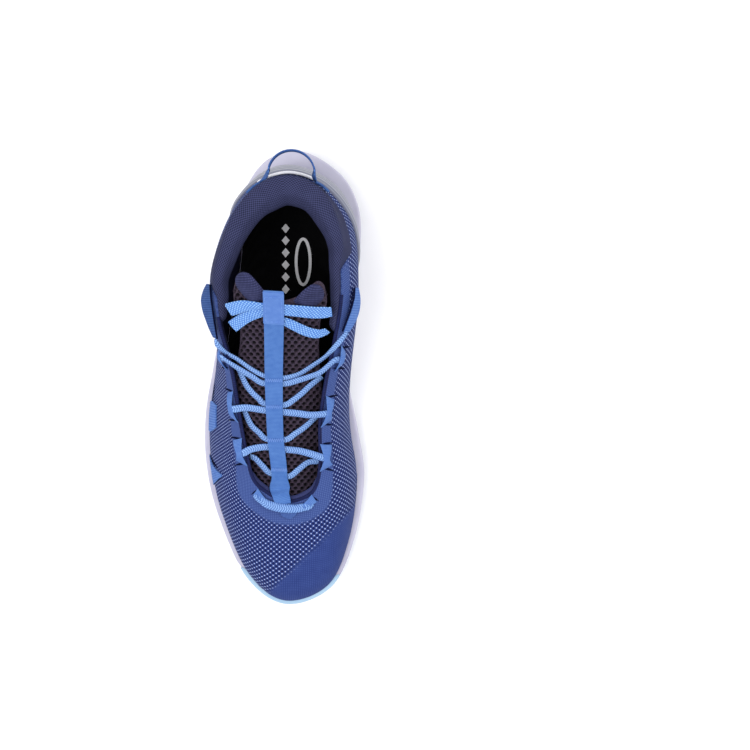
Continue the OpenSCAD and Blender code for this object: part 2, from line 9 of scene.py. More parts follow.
import bmesh
import bpy
import numpy as np
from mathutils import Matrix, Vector


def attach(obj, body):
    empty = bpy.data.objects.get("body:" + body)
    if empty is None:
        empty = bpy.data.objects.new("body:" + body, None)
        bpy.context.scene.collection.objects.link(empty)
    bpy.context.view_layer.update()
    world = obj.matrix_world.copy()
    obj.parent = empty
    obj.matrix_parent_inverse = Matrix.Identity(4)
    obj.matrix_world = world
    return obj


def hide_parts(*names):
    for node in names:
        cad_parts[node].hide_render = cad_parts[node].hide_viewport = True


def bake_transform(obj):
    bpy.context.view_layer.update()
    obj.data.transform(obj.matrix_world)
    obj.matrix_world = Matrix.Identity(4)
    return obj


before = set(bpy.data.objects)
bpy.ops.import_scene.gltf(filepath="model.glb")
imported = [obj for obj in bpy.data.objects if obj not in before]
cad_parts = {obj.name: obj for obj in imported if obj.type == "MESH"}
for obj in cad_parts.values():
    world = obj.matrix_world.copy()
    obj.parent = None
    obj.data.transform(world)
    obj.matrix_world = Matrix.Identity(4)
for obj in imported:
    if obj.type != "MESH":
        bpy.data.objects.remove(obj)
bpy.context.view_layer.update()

MM = 0.001
SHOE, TONGUE_TOP, HEEL_LOOP = "shoe", "tongue_top", "heel_loop"
TURN = 2 * math.pi

# ---- The shoe's form, as in the CAD model ----
STATIONS = 22
HEEL = STATIONS / 2         # the station opposite the toe tip
SOLE = np.array([
    [1, -150, 27], [31, -139, 25], [46.5, -107, 22], [53, -67, 21], [49, -36, 22], [43, -5, 24],
    [41.5, 25, 27], [45, 56, 30], [50.5, 88, 32], [49, 114, 33], [37, 135, 33.5],
    [12, 149.5, 34], [-11, 144, 33.5], [-26, 124, 33], [-33.5, 98, 32], [-36.5, 68, 30],
    [-41, 40, 28], [-47, 8, 25], [-52.5, -25, 22], [-52, -58, 21], [-44, -92, 22],
    [-25, -132.5, 24.5]], float)
EDGE = np.array([
    [1, -79.5, 62], [11, -79, 62.3], [21, -72.5, 64.3], [25.2, -56, 70], [25.5, -30, 82], [29.5, -3, 96],
    [35, 22, 107.5], [39.5, 50, 119], [39, 79, 124], [34.5, 98.5, 121], [22.5, 115, 117.5],
    [6, 121.5, 115.5], [-10, 116, 116.5], [-22.5, 102.5, 119], [-32, 84, 121.5], [-38.5, 60, 120],
    [-37.5, 35, 113], [-30.5, 4, 98], [-26, -28, 82], [-21.8, -53, 70], [-17.5, -67, 65.5],
    [-8.5, -75, 63]], float)
# Inset of the upper on the sole, then how far it swells out and up at its foot and at its edge.
SHAPE = np.array([
    [2.8, 1.2, 16, 34, -6], [2.8, 1.2, 17, 30, -6], [3.8, 1.5, 18, 20, -6], [5, 1, 20, 15, -7],
    [5, 1.5, 22, 13, -10], [3, 6, 28, 18, -18], [2.5, 6, 28, 20, -22], [4, 4, 30, 20, -25],
    [6, 2, 30, 17, -26], [8.5, 1, 30, 15, -26], [11.5, 1, 30, 13, -25], [14, 1, 30, 12, -25],
    [10.5, 1, 30, 12, -25], [6.5, 1, 30, 13, -25], [4.5, 1, 30, 14, -26], [3.5, 1, 30, 14, -25],
    [3, 1, 28, 9, -22], [3.5, 1.5, 26, 11, -18], [3.5, 1, 22, 13, -12], [4, 1, 20, 16, -8],
    [3.6, 1, 18, 22, -6], [3, 1.2, 17, 28, -6]], float)
# The tongue by y: its height, its middle line and the keeper webbing's middle line.
TONGUE = [[-110, 44], [-96, 49], [-79, 55], [-58, 65], [-36, 77.5], [-15, 90.5],
          [0, 100], [15, 111.5], [30, 124.5], [45, 139.5], [60, 156]]
TONGUE_X = [[-110, 1], [-60, -1], [0, -1.5], [30, 1], [60, 2]]
STRAP_X = [[-110, 1], [-79, -1], [-58, -1.5], [-36, -3.2], [0, -3.2], [30, -2], [60, -1]]
# The tongue's upper outline, drawn finer than in the CAD model.
TONGUE_END = [[-1, 52], [-0.93, 59], [-0.8, 63.5], [-0.62, 60], [-0.4, 52], [0, 45], [0.4, 47],
              [0.62, 52], [0.82, 56.5], [0.94, 55], [1, 50]]
TONGUE_BOW = 60
TONGUE_HALF_WIDTH = 26
TONGUE_FLARE = 3.5          # how much wider it is towards the toe
TONGUE_ROOT = -92
TONGUE_THICKNESS = 6
OUTSOLE_TOP = 4.2
GROUND_GAP = 2.2            # from the ground to the outsole sheet, for the tread
# The sole is flat between two places and rises past them, over a run, to the toe's tip and to the heel.
FLAT_FROM, FLAT_TO = -62, 116
TOE_RISE, TOE_RUN, TOE_POWER = 12, 88, 1.8
HEEL_RISE, HEEL_RUN = 3, 34
# Length of a station in weave coordinates: along the upper, the sole and the toe's rim.
STATION_MM, SOLE_STATION_MM, RIM_STATION_MM = 17, 35, 25
Z = np.array([0, 0, 1.0])


def spline(a, b, c, d, t):
    line = 2 * b + (c - a) * t
    return 0.5 * (line + (2 * a - 5 * b + 4 * c - d) * t ** 2 + (3 * b - a - 3 * c + d) * t ** 3)


def at(table, s):
    """A smooth closed curve through the table's rows."""
    s = np.asarray(s, float)
    k = np.floor(s).astype(int)
    rows = [table[(k + i) % len(table)] for i in (-1, 0, 1, 2)]
    return spline(*rows, (s - k)[..., None])


def along(table, y):
    """A smooth value through the table's [place, value] rows."""
    table = np.array(table, float)
    k = np.clip(np.searchsorted(table[:, 0], y, side="right") - 1, 0, len(table) - 2)
    f = (y - table[k, 0]) / (table[k + 1, 0] - table[k, 0])
    v = table[:, 1]
    return spline(v[np.maximum(k - 1, 0)], v[k], v[k + 1], v[np.minimum(k + 2, len(v) - 1)], f)


def unit(v):
    return v / np.linalg.norm(v, axis=-1, keepdims=True)


def grid(a, b):
    return np.meshgrid(a, b, indexing="ij")


def pair(a, b):
    """Two arrays as one of places (a, b)."""
    return np.stack(np.broadcast_arrays(a, b), -1)


def run(points):
    """The length from the first point to each point, along the second last axis."""
    steps = np.linalg.norm(np.diff(points, axis=-2), axis=-1)
    return np.concatenate([np.zeros(steps.shape[:-1] + (1,)), np.cumsum(steps, -1)], -1)


def smoothstep(lo, hi, x):
    f = np.clip((x - lo) / (hi - lo), 0, 1)
    return f * f * (3 - 2 * f)


def window(a, b, c, d, x):
    """Rises from 0 to 1 between a and b and falls back between c and d."""
    return smoothstep(a, b, x) * (1 - smoothstep(c, d, x))


def dome(x, power, least=0.0):
    """1 at x = 0, falling to the root of least at x = 1; a higher power keeps it full for longer."""
    return np.sqrt(np.clip(1 - np.abs(x) ** power, least, 1))


def outward(s):
    d = at(SOLE, s + 0.05) - at(SOLE, s - 0.05)
    return unit(np.stack([d[..., 1], -d[..., 0], 0 * d[..., 0]], -1))


def surface(s, t):
    s, t = np.broadcast_arrays(np.asarray(s, float), np.asarray(t, float))
    t = t[..., None]
    n, h, edge = outward(s), at(SHAPE, s), at(EDGE, s)
    foot = at(SOLE, s) - n * h[..., 0:1] + 0.3 * Z
    low = foot + n * h[..., 1:2] + Z * h[..., 2:3]
    high = edge + n * h[..., 3:4] + Z * h[..., 4:5]
    return foot * (1 - t) ** 3 + low * 3 * t * (1 - t) ** 2 + high * 3 * t ** 2 * (1 - t) + edge * t ** 3


def normal(s, t):
    ahead = surface(s + 0.05, t) - surface(s - 0.05, t)
    return unit(np.cross(ahead, surface(s, t + 0.02) - surface(s, t - 0.02)))


def over(s, t, h):
    return surface(s, t) + normal(s, t) * np.asarray(h)[..., None]


def spring(y):
    """How far the sole has risen off the ground at y."""
    toe = TOE_RISE * (np.clip(FLAT_FROM - y, 0, None) / TOE_RUN) ** TOE_POWER
    return toe + HEEL_RISE * (np.clip(y - FLAT_TO, 0, None) / HEEL_RUN) ** 2


def tongue_z(x, y):
    return along(TONGUE, y) - (x - along(TONGUE_X, y)) ** 2 / TONGUE_BOW


def tongue_up(x, y):
    dx = (tongue_z(x + 1, y) - tongue_z(x - 1, y)) / 2
    dy = (tongue_z(x, y + 1) - tongue_z(x, y - 1)) / 2
    return unit(np.stack([-dx, -dy, 1 + 0 * dx], -1))


def tongue_half(y):
    low = TONGUE_HALF_WIDTH + TONGUE_FLARE - (-60 - y) * 0.3
    return np.where(y < -60, low, TONGUE_HALF_WIDTH + TONGUE_FLARE * np.clip((20 - y) / 25, 0, 1))


# ---- Shapes: a shape is a dict of points, faces, weave coordinates in mm, and masks from 0 to 1 ----
def quads(nu, nv, closed_u=False, closed_v=False, offset=0, flip=False):
    """The faces of a grid of nu by nv points; closed joins its last points to the first."""
    i, j = grid(np.arange(nu - 1 + closed_u), np.arange(nv - 1 + closed_v))
    i2, j2 = (i + 1) % nu, (j + 1) % nv
    q = np.stack([i * nv + j, i2 * nv + j, i2 * nv + j2, i * nv + j2], -1).reshape(-1, 4) + offset
    return (q[:, ::-1] if flip else q).tolist()


def plate(top, bottom, coords, masks=None, closed=False):
    """A solid between two grids of points; closed joins the first row to the last."""
    nu, nv = top.shape[:2]
    half = nu * nv

    def wall(edge, turned, joined=False):
        pairs = zip(edge, edge[1:] + edge[:1] if joined else edge[1:])
        return [[b, a, a + half, b + half] if turned else [a, b, b + half, a + half] for a, b in pairs]

    faces = quads(nu, nv, closed) + quads(nu, nv, closed, offset=half, flip=True)
    for j in (0, nv - 1):
        faces += wall([i * nv + j for i in range(nu)], j == 0, closed)
    if not closed:
        for i in (0, nu - 1):
            faces += wall([i * nv + j for j in range(nv)], i > 0)
    double = lambda a: np.concatenate([a.reshape(half, -1)] * 2)
    return {"points": np.concatenate([top.reshape(-1, 3), bottom.reshape(-1, 3)]), "faces": faces,
            "coords": double(coords), "masks": {k: double(v)[:, 0] for k, v in (masks or {}).items()}}


def sweep(sections, coords):
    """A tube through closed sections, with flat ends."""
    nu, nv = sections.shape[:2]
    faces = quads(nu, nv, closed_v=True)
    faces += [list(range(nv)), [(nu - 1) * nv + j for j in reversed(range(nv))]]
    return {"points": sections.reshape(-1, 3), "faces": faces, "coords": coords.reshape(-1, 2), "masks": {}}


def curve(rows, step):
    """Rows of numbers, a point first, resampled at even steps along a smooth curve through them."""
    rows = np.array(rows, float)
    ext = np.vstack([2 * rows[0] - rows[1], rows, 2 * rows[-1] - rows[-2]])
    fine = [spline(*ext[k:k + 4], f)
            for k in range(len(rows) - 1) for f in np.linspace(0, 1, 24, endpoint=False)]
    fine = np.array(fine + [rows[-1]])
    length = run(fine[:, :3])
    even = np.linspace(0, length[-1], max(int(length[-1] / step) + 1, 4))
    return np.stack([np.interp(even, length, fine[:, k]) for k in range(fine.shape[1])], 1), even


def ribbon(rows, step=0.8, sides=12, relief=None, square=0.45):
    """A flat band along rows of [point, up, width, thickness]; relief(u, v) raises its face."""
    rows, u = curve(rows, step)
    point, up, width, thick = rows[:, :3], unit(rows[:, 3:6]), rows[:, 6], rows[:, 7]
    ahead = np.gradient(point, axis=0)
    side = unit(np.cross(up, ahead))
    angle = np.arange(sides) * TURN / sides + TURN / sides / 2
    c, s = np.cos(angle), np.sin(angle)
    across = np.sign(c) * np.abs(c) ** square
    lift = 0.5 + 0.5 * np.sign(s) * np.abs(s) ** 0.7
    v = across[None, :] * width[:, None] / 2
    raised = relief(u[:, None], v) * np.where(s > 0, 1, 0.3)[None, :] if relief else 0
    h = lift[None, :] * thick[:, None] + raised
    sections = point[:, None, :] + side[:, None, :] * v[..., None] + up[:, None, :] * h[..., None]
    return sweep(sections, pair(u[:, None], v))


def webbing(rows, step):
    """A ribbon with nearly square edges."""
    return ribbon(rows, step, 14, square=0.25)


def merge(shapes):
    points, faces, coords, masks, offset = [], [], [], {}, 0
    names = sorted(set(k for s in shapes for k in s["masks"]))
    for s in shapes:
        points.append(s["points"])
        coords.append(s["coords"])
        faces += [[i + offset for i in f] for f in s["faces"]] if offset else s["faces"]
        for k in names:
            masks.setdefault(k, []).append(s["masks"].get(k, np.zeros(len(s["points"]))))
        offset += len(s["points"])
    return {"points": np.concatenate(points), "faces": faces, "coords": np.concatenate(coords),
            "masks": {k: np.concatenate(v) for k, v in masks.items()}}


def add_object(name, data):
    obj = bpy.data.objects.new(name, data)
    bpy.context.collection.objects.link(obj)
    return obj


def piece(name, shapes, material, stands_for=(), body=SHOE, crease=45):
    shape = merge(shapes if isinstance(shapes, list) else [shapes])
    mesh = bpy.data.meshes.new(name)
    mesh.from_pydata((shape["points"] * MM).tolist(), [], shape["faces"])
    weave = mesh.attributes.new("weave", "FLOAT_VECTOR", "POINT")
    coords = np.zeros((len(shape["points"]), 3), np.float32)
    coords[:, :2] = shape["coords"][:, :2]
    weave.data.foreach_set("vector", coords.ravel())
    for key, values in shape["masks"].items():
        mesh.attributes.new(key, "FLOAT", "POINT").data.foreach_set("value", values.astype(np.float32))
    work = bmesh.new()
    work.from_mesh(mesh)
    bmesh.ops.recalc_face_normals(work, faces=work.faces)
    work.to_mesh(mesh)
    work.free()
    mesh.shade_smooth()
    mesh.set_sharp_from_angle(angle=math.radians(crease))
    mesh.materials.append(material)
    obj = add_object(name, mesh)
    if body:
        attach(obj, body)
    if stands_for:
        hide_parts(*stands_for)
    return obj


def across_fold(obj):
    """Bakes the piece's placement into its mesh."""
    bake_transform(obj)


# ---- Materials ----
def rgb(r, g, b):
    """A display colour from 0 to 255 as linear light."""
    return tuple(c / 255 / 12.92 if c <= 10 else ((c / 255 + 0.055) / 1.055) ** 2.4 for c in (r, g, b)) + (1,)


class Graph:
    """A material and short calls for the nodes that it uses."""

    def __init__(self, name, roughness, gloss):
        self.material = bpy.data.materials.new(name)
        self.material.use_nodes = True
        self.tree = self.material.node_tree
        self.shader = self.tree.nodes["Principled BSDF"]
        self.shader.inputs["Roughness"].default_value = roughness
        self.shader.inputs["Specular IOR Level"].default_value = gloss

    def put(self, source, socket):
        """Links a node's output, or sets a number or a display colour of three numbers."""
        if isinstance(source, bpy.types.NodeSocket):
            self.tree.links.new(source, socket)
        else:
            socket.default_value = rgb(*source) if isinstance(source, tuple) else source

    def node(self, kind):
        return self.tree.nodes.new("ShaderNode" + kind)

    def math(self, operation, *values, clamp=False):
        node = self.node("Math")
        node.operation, node.use_clamp = operation, clamp
        for value, socket in zip(values, node.inputs):
            self.put(value, socket)
        return node.outputs[0]

    def add(self, a, b):
        return self.math("ADD", a, b)

    def mul(self, a, b):
        return self.math("MULTIPLY", a, b)

    def mul_add(self, a, b, c, clamp=False):
        return self.math("MULTIPLY_ADD", a, b, c, clamp=clamp)

    def attribute(self, name):
        node = self.node("Attribute")
        node.attribute_name = name
        return node

    def weave(self):
        """The piece's weave coordinates in mm."""
        node = self.node("SeparateXYZ")
        self.tree.links.new(self.attribute("weave").outputs["Vector"], node.inputs[0])
        return node.outputs[0], node.outputs[1]

    def mask(self, name):
        return self.attribute(name).outputs["Fac"]

    def noise(self, scale, detail=3.0):
        node = self.node("TexNoise")
        node.inputs["Scale"].default_value = scale
        node.inputs["Detail"].default_value = detail
        place = self.node("TexCoord").outputs["Object"]
        self.tree.links.new(place, node.inputs["Vector"])
        return node.outputs["Fac"]

    def ramp(self, value, lo, hi):
        """0 at lo and 1 at hi, smoothly."""
        node = self.node("MapRange")
        node.interpolation_type = "SMOOTHSTEP"
        self.put(value, node.inputs["Value"])
        node.inputs["From Min"].default_value = lo
        node.inputs["From Max"].default_value = hi
        return node.outputs["Result"]

    def wave(self, value, pitch):
        """A sine of that pitch, from 0 to 1."""
        return self.mul_add(self.math("SINE", self.mul(value, TURN / pitch)), 0.5, 0.5)

    def mix(self, factor, a, b):
        node = self.node("Mix")
        node.data_type = "RGBA"
        for source, socket in ((factor, 0), (a, 6), (b, 7)):
            self.put(source, node.inputs[socket])
        return node.outputs[2]

    def bump(self, height, distance):
        """Relief of that many millimetres."""
        node = self.node("Bump")
        node.inputs["Distance"].default_value = distance * MM
        self.put(height, node.inputs["Height"])
        self.tree.links.new(node.outputs[0], self.shader.inputs["Normal"])

    def colour(self, source):
        self.put(source, self.shader.inputs["Base Color"])
        return self.material


def cloth(name, dark, light, pitch_u, pitch_v, depth, roughness=0.8, gloss=0.12):
    """Woven or knitted cloth: two crossed thread waves between a dark and a light colour."""
    g = Graph(name, roughness, gloss)
    u, v = g.weave()
    threads = g.mul(g.wave(u, pitch_u), g.wave(v, pitch_v))
    g.bump(threads, depth)
    return g.colour(g.mix(g.mul_add(g.noise(220), 0.45, g.mul(threads, 0.75), clamp=True), dark, light))


def dotted_knit():
    """The upper: raised pale dots and navy diamonds over blue, and a fine plain grid where they fade out."""
    g = Graph("dotted_knit", 0.8, 0.12)
    u, v = g.weave()
    pitch, diagonal = 2.62, 0.7071
    tall = g.mul(v, 1.1)
    across = [g.mul(g.math(way, u, tall), diagonal / pitch) for way in ("ADD", "SUBTRACT")]

    def from_lattice(shift):
        """Distance in mm from the middles of the lattice's cells, shifted by a share of a cell."""
        parts = [g.math("SUBTRACT", g.math("FRACT", g.add(c, shift)), 0.5) for c in across]
        return g.mul(g.math("SQRT", g.add(*(g.math("POWER", f, 2.0) for f in parts))), pitch)

    amount = g.math("SUBTRACT", 1.0, g.mask("plain"))
    dot = g.mul(g.ramp(from_lattice(0.0), 0.62, 0.32), amount)
    diamond = g.mul(g.ramp(from_lattice(0.5), 1.25, 0.5), amount)
    threads = g.mul(g.wave(u, 1.3), g.wave(v, 1.3))
    base = g.mix(g.mul_add(threads, 0.6, g.mul(g.noise(160), 0.4)), (32, 47, 104), (60, 80, 142))
    base = g.mix(g.mask("eyestay"), base, g.mix(threads, (50, 68, 124), (82, 103, 160)))
    base = g.mix(dot, g.mix(diamond, base, (15, 21, 70)), (176, 192, 240))
    g.bump(g.add(g.mul(dot, 1.6), g.mul(threads, 0.35)), 0.35)
    return g.colour(base)


def chevron_knit(name, dark, light):
    """The collar's knit: slanted rows of small stitches that meet in a V at the middle of the heel."""
    g = Graph(name, 0.9, 0.08)
    u, v = g.weave()
    slant = g.mul(g.math("ABSOLUTE", u), 0.62)
    rows, stitches = (g.wave(g.mul_add(v, way, slant), 1.3) for way in (0.78, -0.78))
    shade = g.add(g.mul(rows, 0.42), g.mul(stitches, 0.42))
    g.bump(shade, 0.35)
    return g.colour(g.mix(g.mul_add(g.noise(120), 0.2, shade), dark, light))


def spacer_mesh():
    """The tongue: coarse purple-brown mesh, its holes painted near black as shade in their recesses."""
    g = Graph("spacer_mesh", 0.85, 0.12)
    u, v = g.weave()
    thread = g.mul(g.wave(u, 1.0), g.wave(v, 1.0))
    base = g.mix(g.mul_add(thread, 0.5, g.mul(g.noise(150), 0.5)), (28, 25, 38), (78, 72, 96))
    g.bump(thread, 0.15)
    base = g.mix(g.mul(g.noise(420, 2), 0.2), base, (104, 70, 60))
    # Near black in the holes: painted shade in the recesses.
    return g.colour(g.mix(g.mask("hole"), base, (6, 4, 9)))


def lace_braid():
    """Flat braid: cross ribs with a diagonal thread. The ribs' pale and dark are partly the braid's tone and
    partly painted highlight and shade, and the edges are darkened as painted shade.
    """
    g = Graph("lace_braid", 0.7, 0.15)
    u, v = g.weave()
    across = g.math("ABSOLUTE", v)
    ribs = g.wave(g.mul_add(across, 0.5, u), 1.5)
    thread = g.wave(g.add(v, u), 1.2)
    shade = g.add(g.mul(ribs, 0.6), g.mul(thread, 0.35))
    g.bump(shade, 0.2)
    # Pale and dark ribs: partly the braid's tone, partly painted highlight and shade.
    base = g.mix(shade, (24, 58, 134), (154, 194, 246))
    # Darker towards both edges: painted shade along the lace's outline.
    return g.colour(g.mix(g.mul(g.ramp(across, 1.2, 2.6), 0.25), base, (44, 82, 158)))


def bow_braid():
    """The bow's wide flat braid: pale diamonds between darker crossing threads."""
    g = Graph("bow_braid", 0.7, 0.15)
    u, v = g.weave()
    crossing = g.mul(g.wave(g.add(u, v), 2.2), g.wave(g.math("SUBTRACT", u, v), 2.2))
    g.bump(crossing, 0.25)
    shade = g.mul_add(g.noise(260, 2), 0.25, g.mul(crossing, 1.1), clamp=True)
    return g.colour(g.mix(shade, (52, 100, 182), (152, 196, 244)))


def rubber(name, colour, shadow, grain=900, depth=0.05, roughness=0.55):
    """Moulded rubber or foam: a fine skin grain and faint colour variation."""
    g = Graph(name, roughness, 0.35)
    g.bump(g.noise(grain, 2), depth)
    return g.colour(g.mix(g.ramp(g.noise(45), 0.35, 0.75), colour, shadow))


M_TEXTILE = dotted_knit()
M_COLLAR = chevron_knit("collar_knit", (4, 5, 17), (69, 73, 111))
M_MESH = spacer_mesh()
M_LACE = lace_braid()
M_BOW = bow_braid()
M_PAD = cloth("pad_knit", (25, 26, 50), (70, 74, 114), 0.8, 1.1, 0.15, 0.9, 0.08)
M_STRAP = cloth("keeper_webbing", (46, 84, 154), (96, 136, 196), 1.0, 0.7, 0.08)
M_FOLD = cloth("keeper_fold_webbing", (62, 98, 172), (110, 146, 206), 1.0, 0.7, 0.08)
M_WEBBING = cloth("blue_webbing", (52, 86, 158), (108, 144, 204), 0.9, 0.9, 0.12)
M_WING = cloth("wing_webbing", (24, 46, 96), (72, 104, 164), 0.9, 0.9, 0.12)
M_TAB = cloth("tab_webbing", (36, 58, 118), (84, 112, 172), 0.9, 0.9, 0.12)
M_LOOP = cloth("loop_webbing", (26, 50, 104), (84, 126, 196), 0.9, 0.9, 0.12)
M_LINING = cloth("lining_knit", (12, 13, 28), (40, 42, 70), 1.2, 1.2, 0.2, 0.9, 0.05)
# Near black: partly the binding's own dark blue, partly painted shade of the gap between the throat's edge and
# the tongue.
M_RIM = cloth("rim_binding_and_painted_shade", (12, 15, 44), (40, 48, 100), 0.7, 0.7, 0.12)
M_FACING = cloth("facing_binding", (40, 44, 86), (84, 92, 146), 0.7, 0.7, 0.12)
M_INSOLE = cloth("insole_textile", (4, 4, 5), (18, 18, 20), 0.8, 0.8, 0.08, 0.9, 0.05)
M_PRINT = cloth("insole_print", (215, 215, 220), (250, 250, 252), 0.9, 0.9, 0.05, 0.5)
M_PIPING = cloth("white_piping", (235, 235, 245), (255, 255, 255), 0.7, 0.7, 0.1)
# Near black: painted shadow, for the slits' openings and for the gaps along the wings' upper edges.
M_SLIT = cloth("slit_shadow", (6, 8, 26), (18, 24, 58), 0.7, 0.7, 0.1, 0.95, 0.02)
M_STITCH = cloth("stitch_thread", (70, 110, 184), (128, 162, 222), 0.5, 0.5, 0.08)
M_FOAM = rubber("midsole_foam", (189, 187, 206), (178, 176, 197))
M_RIM_RUBBER = rubber("bumper_rubber", (160, 190, 214), (150, 182, 210), 600)
M_OUTSOLE = rubber("outsole_rubber", (150, 188, 228), (132, 172, 218), 500)
M_CLIP = rubber("clip_plastic", (98, 102, 124), (92, 96, 118), 300, 0.03, 0.3)
# Near black so that where the board shows through the gap under the lining it reads as shade: painted shade.
M_BOARD = rubber("board_felt_painted_shade", (40, 40, 44), (28, 28, 32), 1500, 0.1, 0.95)
M_PLATE = rubber("shank_plastic", (30, 30, 34), (44, 44, 50), 400, 0.04, 0.45)

# ---- Sole ----
RING = 704                  # points round the sole
RING_S = np.arange(RING) * STATIONS / RING


def ring(inset, height):
    point = at(SOLE, RING_S) - outward(RING_S) * np.broadcast_to(inset, RING)[:, None]
    z = height(point[:, 1]) if callable(height) else height
    return np.stack([point[:, 0], point[:, 1], np.broadcast_to(z, RING)], 1)


def stack(rings):
    """A slab from closed rings, from the bottom's middle out, up and in again."""
    points = np.stack(rings)
    count = len(rings)
    faces = quads(count, RING, closed_v=True, flip=True)
    for base, up in ((0, False), ((count - 1) * RING, True)):
        for i in range(RING // 2):
            a, b = (RING - i) % RING, RING - 1 - i
            for tri in ([a, b, i + 1], [a, i + 1, i]):
                if len(set(tri)) == 3:
                    faces.append([base + k for k in (tri if up else tri[::-1])])
    girth = np.broadcast_to(RING_S * SOLE_STATION_MM, (count, RING))
    return {"points": points.reshape(-1, 3), "faces": faces,
            "coords": pair(girth, points[..., 2]).reshape(-1, 2), "masks": {}}


def level(h):
    return lambda y: h + spring(y)


TOP = at(SOLE, RING_S)[:, 2]
FROM_TOE = np.minimum(RING_S, STATIONS - RING_S)
GAPS, BOARD_T = 0.6, 1.8    # what lies under the footbed: three clearances and the board
BUMPER_DEPTH = 2.4 * np.clip(1 - (FROM_TOE / 1.3) ** 4, 0, None)


def make_midsole():
    ribs = window(5.5, 8.5, 14.5, 16.5, RING_S) * 0.35 * (0.5 + 0.5 * np.cos(RING_S * TURN * 8))
    low = OUTSOLE_TOP + 0.2
    rows = [ring(22, level(low)), ring(BUMPER_DEPTH + 4, level(low))]
    for inset, lift in ((2.6, 1.2), (1.4, 2.8), (1.0, 4.0), (0.6, 6.0)):
        rows.append(ring(BUMPER_DEPTH + inset, level(low + lift)))
    foot = low + 6 + spring(at(SOLE, RING_S)[:, 1])
    # The side wall's grooves and ribbed band: share of the height, inset, share of the ribs.
    profile = [(0.2, 0.25, 0), (0.25, 0.1, 0), (0.3, 0.9, 0), (0.36, 0.9, 0), (0.41, 0.05, 0), (0.46, 0.0, 1),
               (0.62, 0.0, 1), (0.68, 0.1, 0), (0.72, 0.8, 0), (0.77, 0.8, 0), (0.82, 0.15, 0), (0.9, 0.3, 0)]
    for part, inset, ribbed in profile:
        rows.append(ring(BUMPER_DEPTH + inset + ribbed * ribs, foot + (TOP - foot) * part))
    for inset, drop in ((0.6, 0.8), (1.1, 0.25), (1.9, 0), (14, 0)):
        rows.append(ring(BUMPER_DEPTH + inset, TOP - drop))
    piece("midsole_foam_body", stack(rows), M_FOAM, ["midsole"], crease=50)


def make_outsole():
    rows = [ring(inset, level(z)) for inset, z in (
        (20, GROUND_GAP), (6.4, GROUND_GAP), (5, GROUND_GAP + 0.3), (4.6, GROUND_GAP + 0.9),
        (4.5, OUTSOLE_TOP - 0.3), (4.8, OUTSOLE_TOP), (20, OUTSOLE_TOP))]
    piece("outsole_sheet", stack(rows), M_OUTSOLE, ["outsole"])


def make_toe_bumper():
    """The rim round the toe, flush with the midsole; its lip covers the ledge in front of the upper."""
    s = np.linspace(-1.18, 1.3, 110)
    base, n = at(SOLE, s), outward(s)
    fade = dome((s - 0.06) / 1.24, 4, 0.002)
    low, high = OUTSOLE_TOP + spring(base[:, 1]), base[:, 2]

    def wall(profile, reach):
        columns = []
        for inset, z in profile:
            p = base - n * (inset * reach)[:, None]
            columns.append(np.stack([p[:, 0], p[:, 1], z], 1))
        return np.stack(columns, 1)

    outer = [(0.9, low + 4), (0.3, low + 6.5), (-0.1, low + 9), (-0.1, high - 1.8), (0.35, high - 0.5),
             (1.1, high + 0.3), (2.4, high + 0.6), (4.6, high + 0.5)]
    inner = [(3.2, low + 4.2), (2.6, low + 6.5), (2.3, low + 9), (2.3, high - 1.8), (2.5, high - 1.3),
             (2.9, high - 1), (3.6, high - 0.7), (4.6, high - 0.4)]
    front, back = wall(outer, 0.25 + 0.75 * fade), wall(inner, fade)
    rim = plate(front, back, pair(s[:, None] * RIM_STATION_MM, front[..., 2]))
    piece("toe_bumper_rim", rim, M_RIM_RUBBER, ["toe_bumper"])


def make_insole():
    inset = at(SHAPE, RING_S)[:, 0]
    low = GAPS + BOARD_T
    rows = [ring(inset + 20, TOP + low), ring(inset + 5, TOP + low), ring(inset + 4.4, TOP + low + 0.6)]
    for extra, lift in ((4.4, 4.4), (4.8, 5.2), (5.8, 5.3), (8.5, 4.7), (12, 4.0), (16, 3.6), (20, 3.5)):
        rows.append(ring(inset + extra, TOP + low + lift))
    piece("footbed", stack(rows), M_INSOLE, ["insole"])


# ---- Upper ----
T_COLLAR = 0.84             # where the shell ends under the collar
RIBS, ROWS = 528, 84        # the shell's grid
TEXTILE_T, LINING_T = 1.2, 0.9
LINING_OUT = -2.3           # the lining's outside, from the upper's surface


def on_upper(s, t, h):
    return np.r_[over(s, t, h), normal(s, t)]


def upper_rows(places, thick):
    """Ribbon rows at places (s, t, height, width) over the upper."""
    return [np.r_[on_upper(s, t, h), w, thick] for s, t, h, w in places]


def in_collar(s):
    """1 where the padded collar takes over from the shell's edge, 0 along the throat."""
    return window(7.5, 8.1, 14.9, 15.5, np.mod(s, STATIONS))


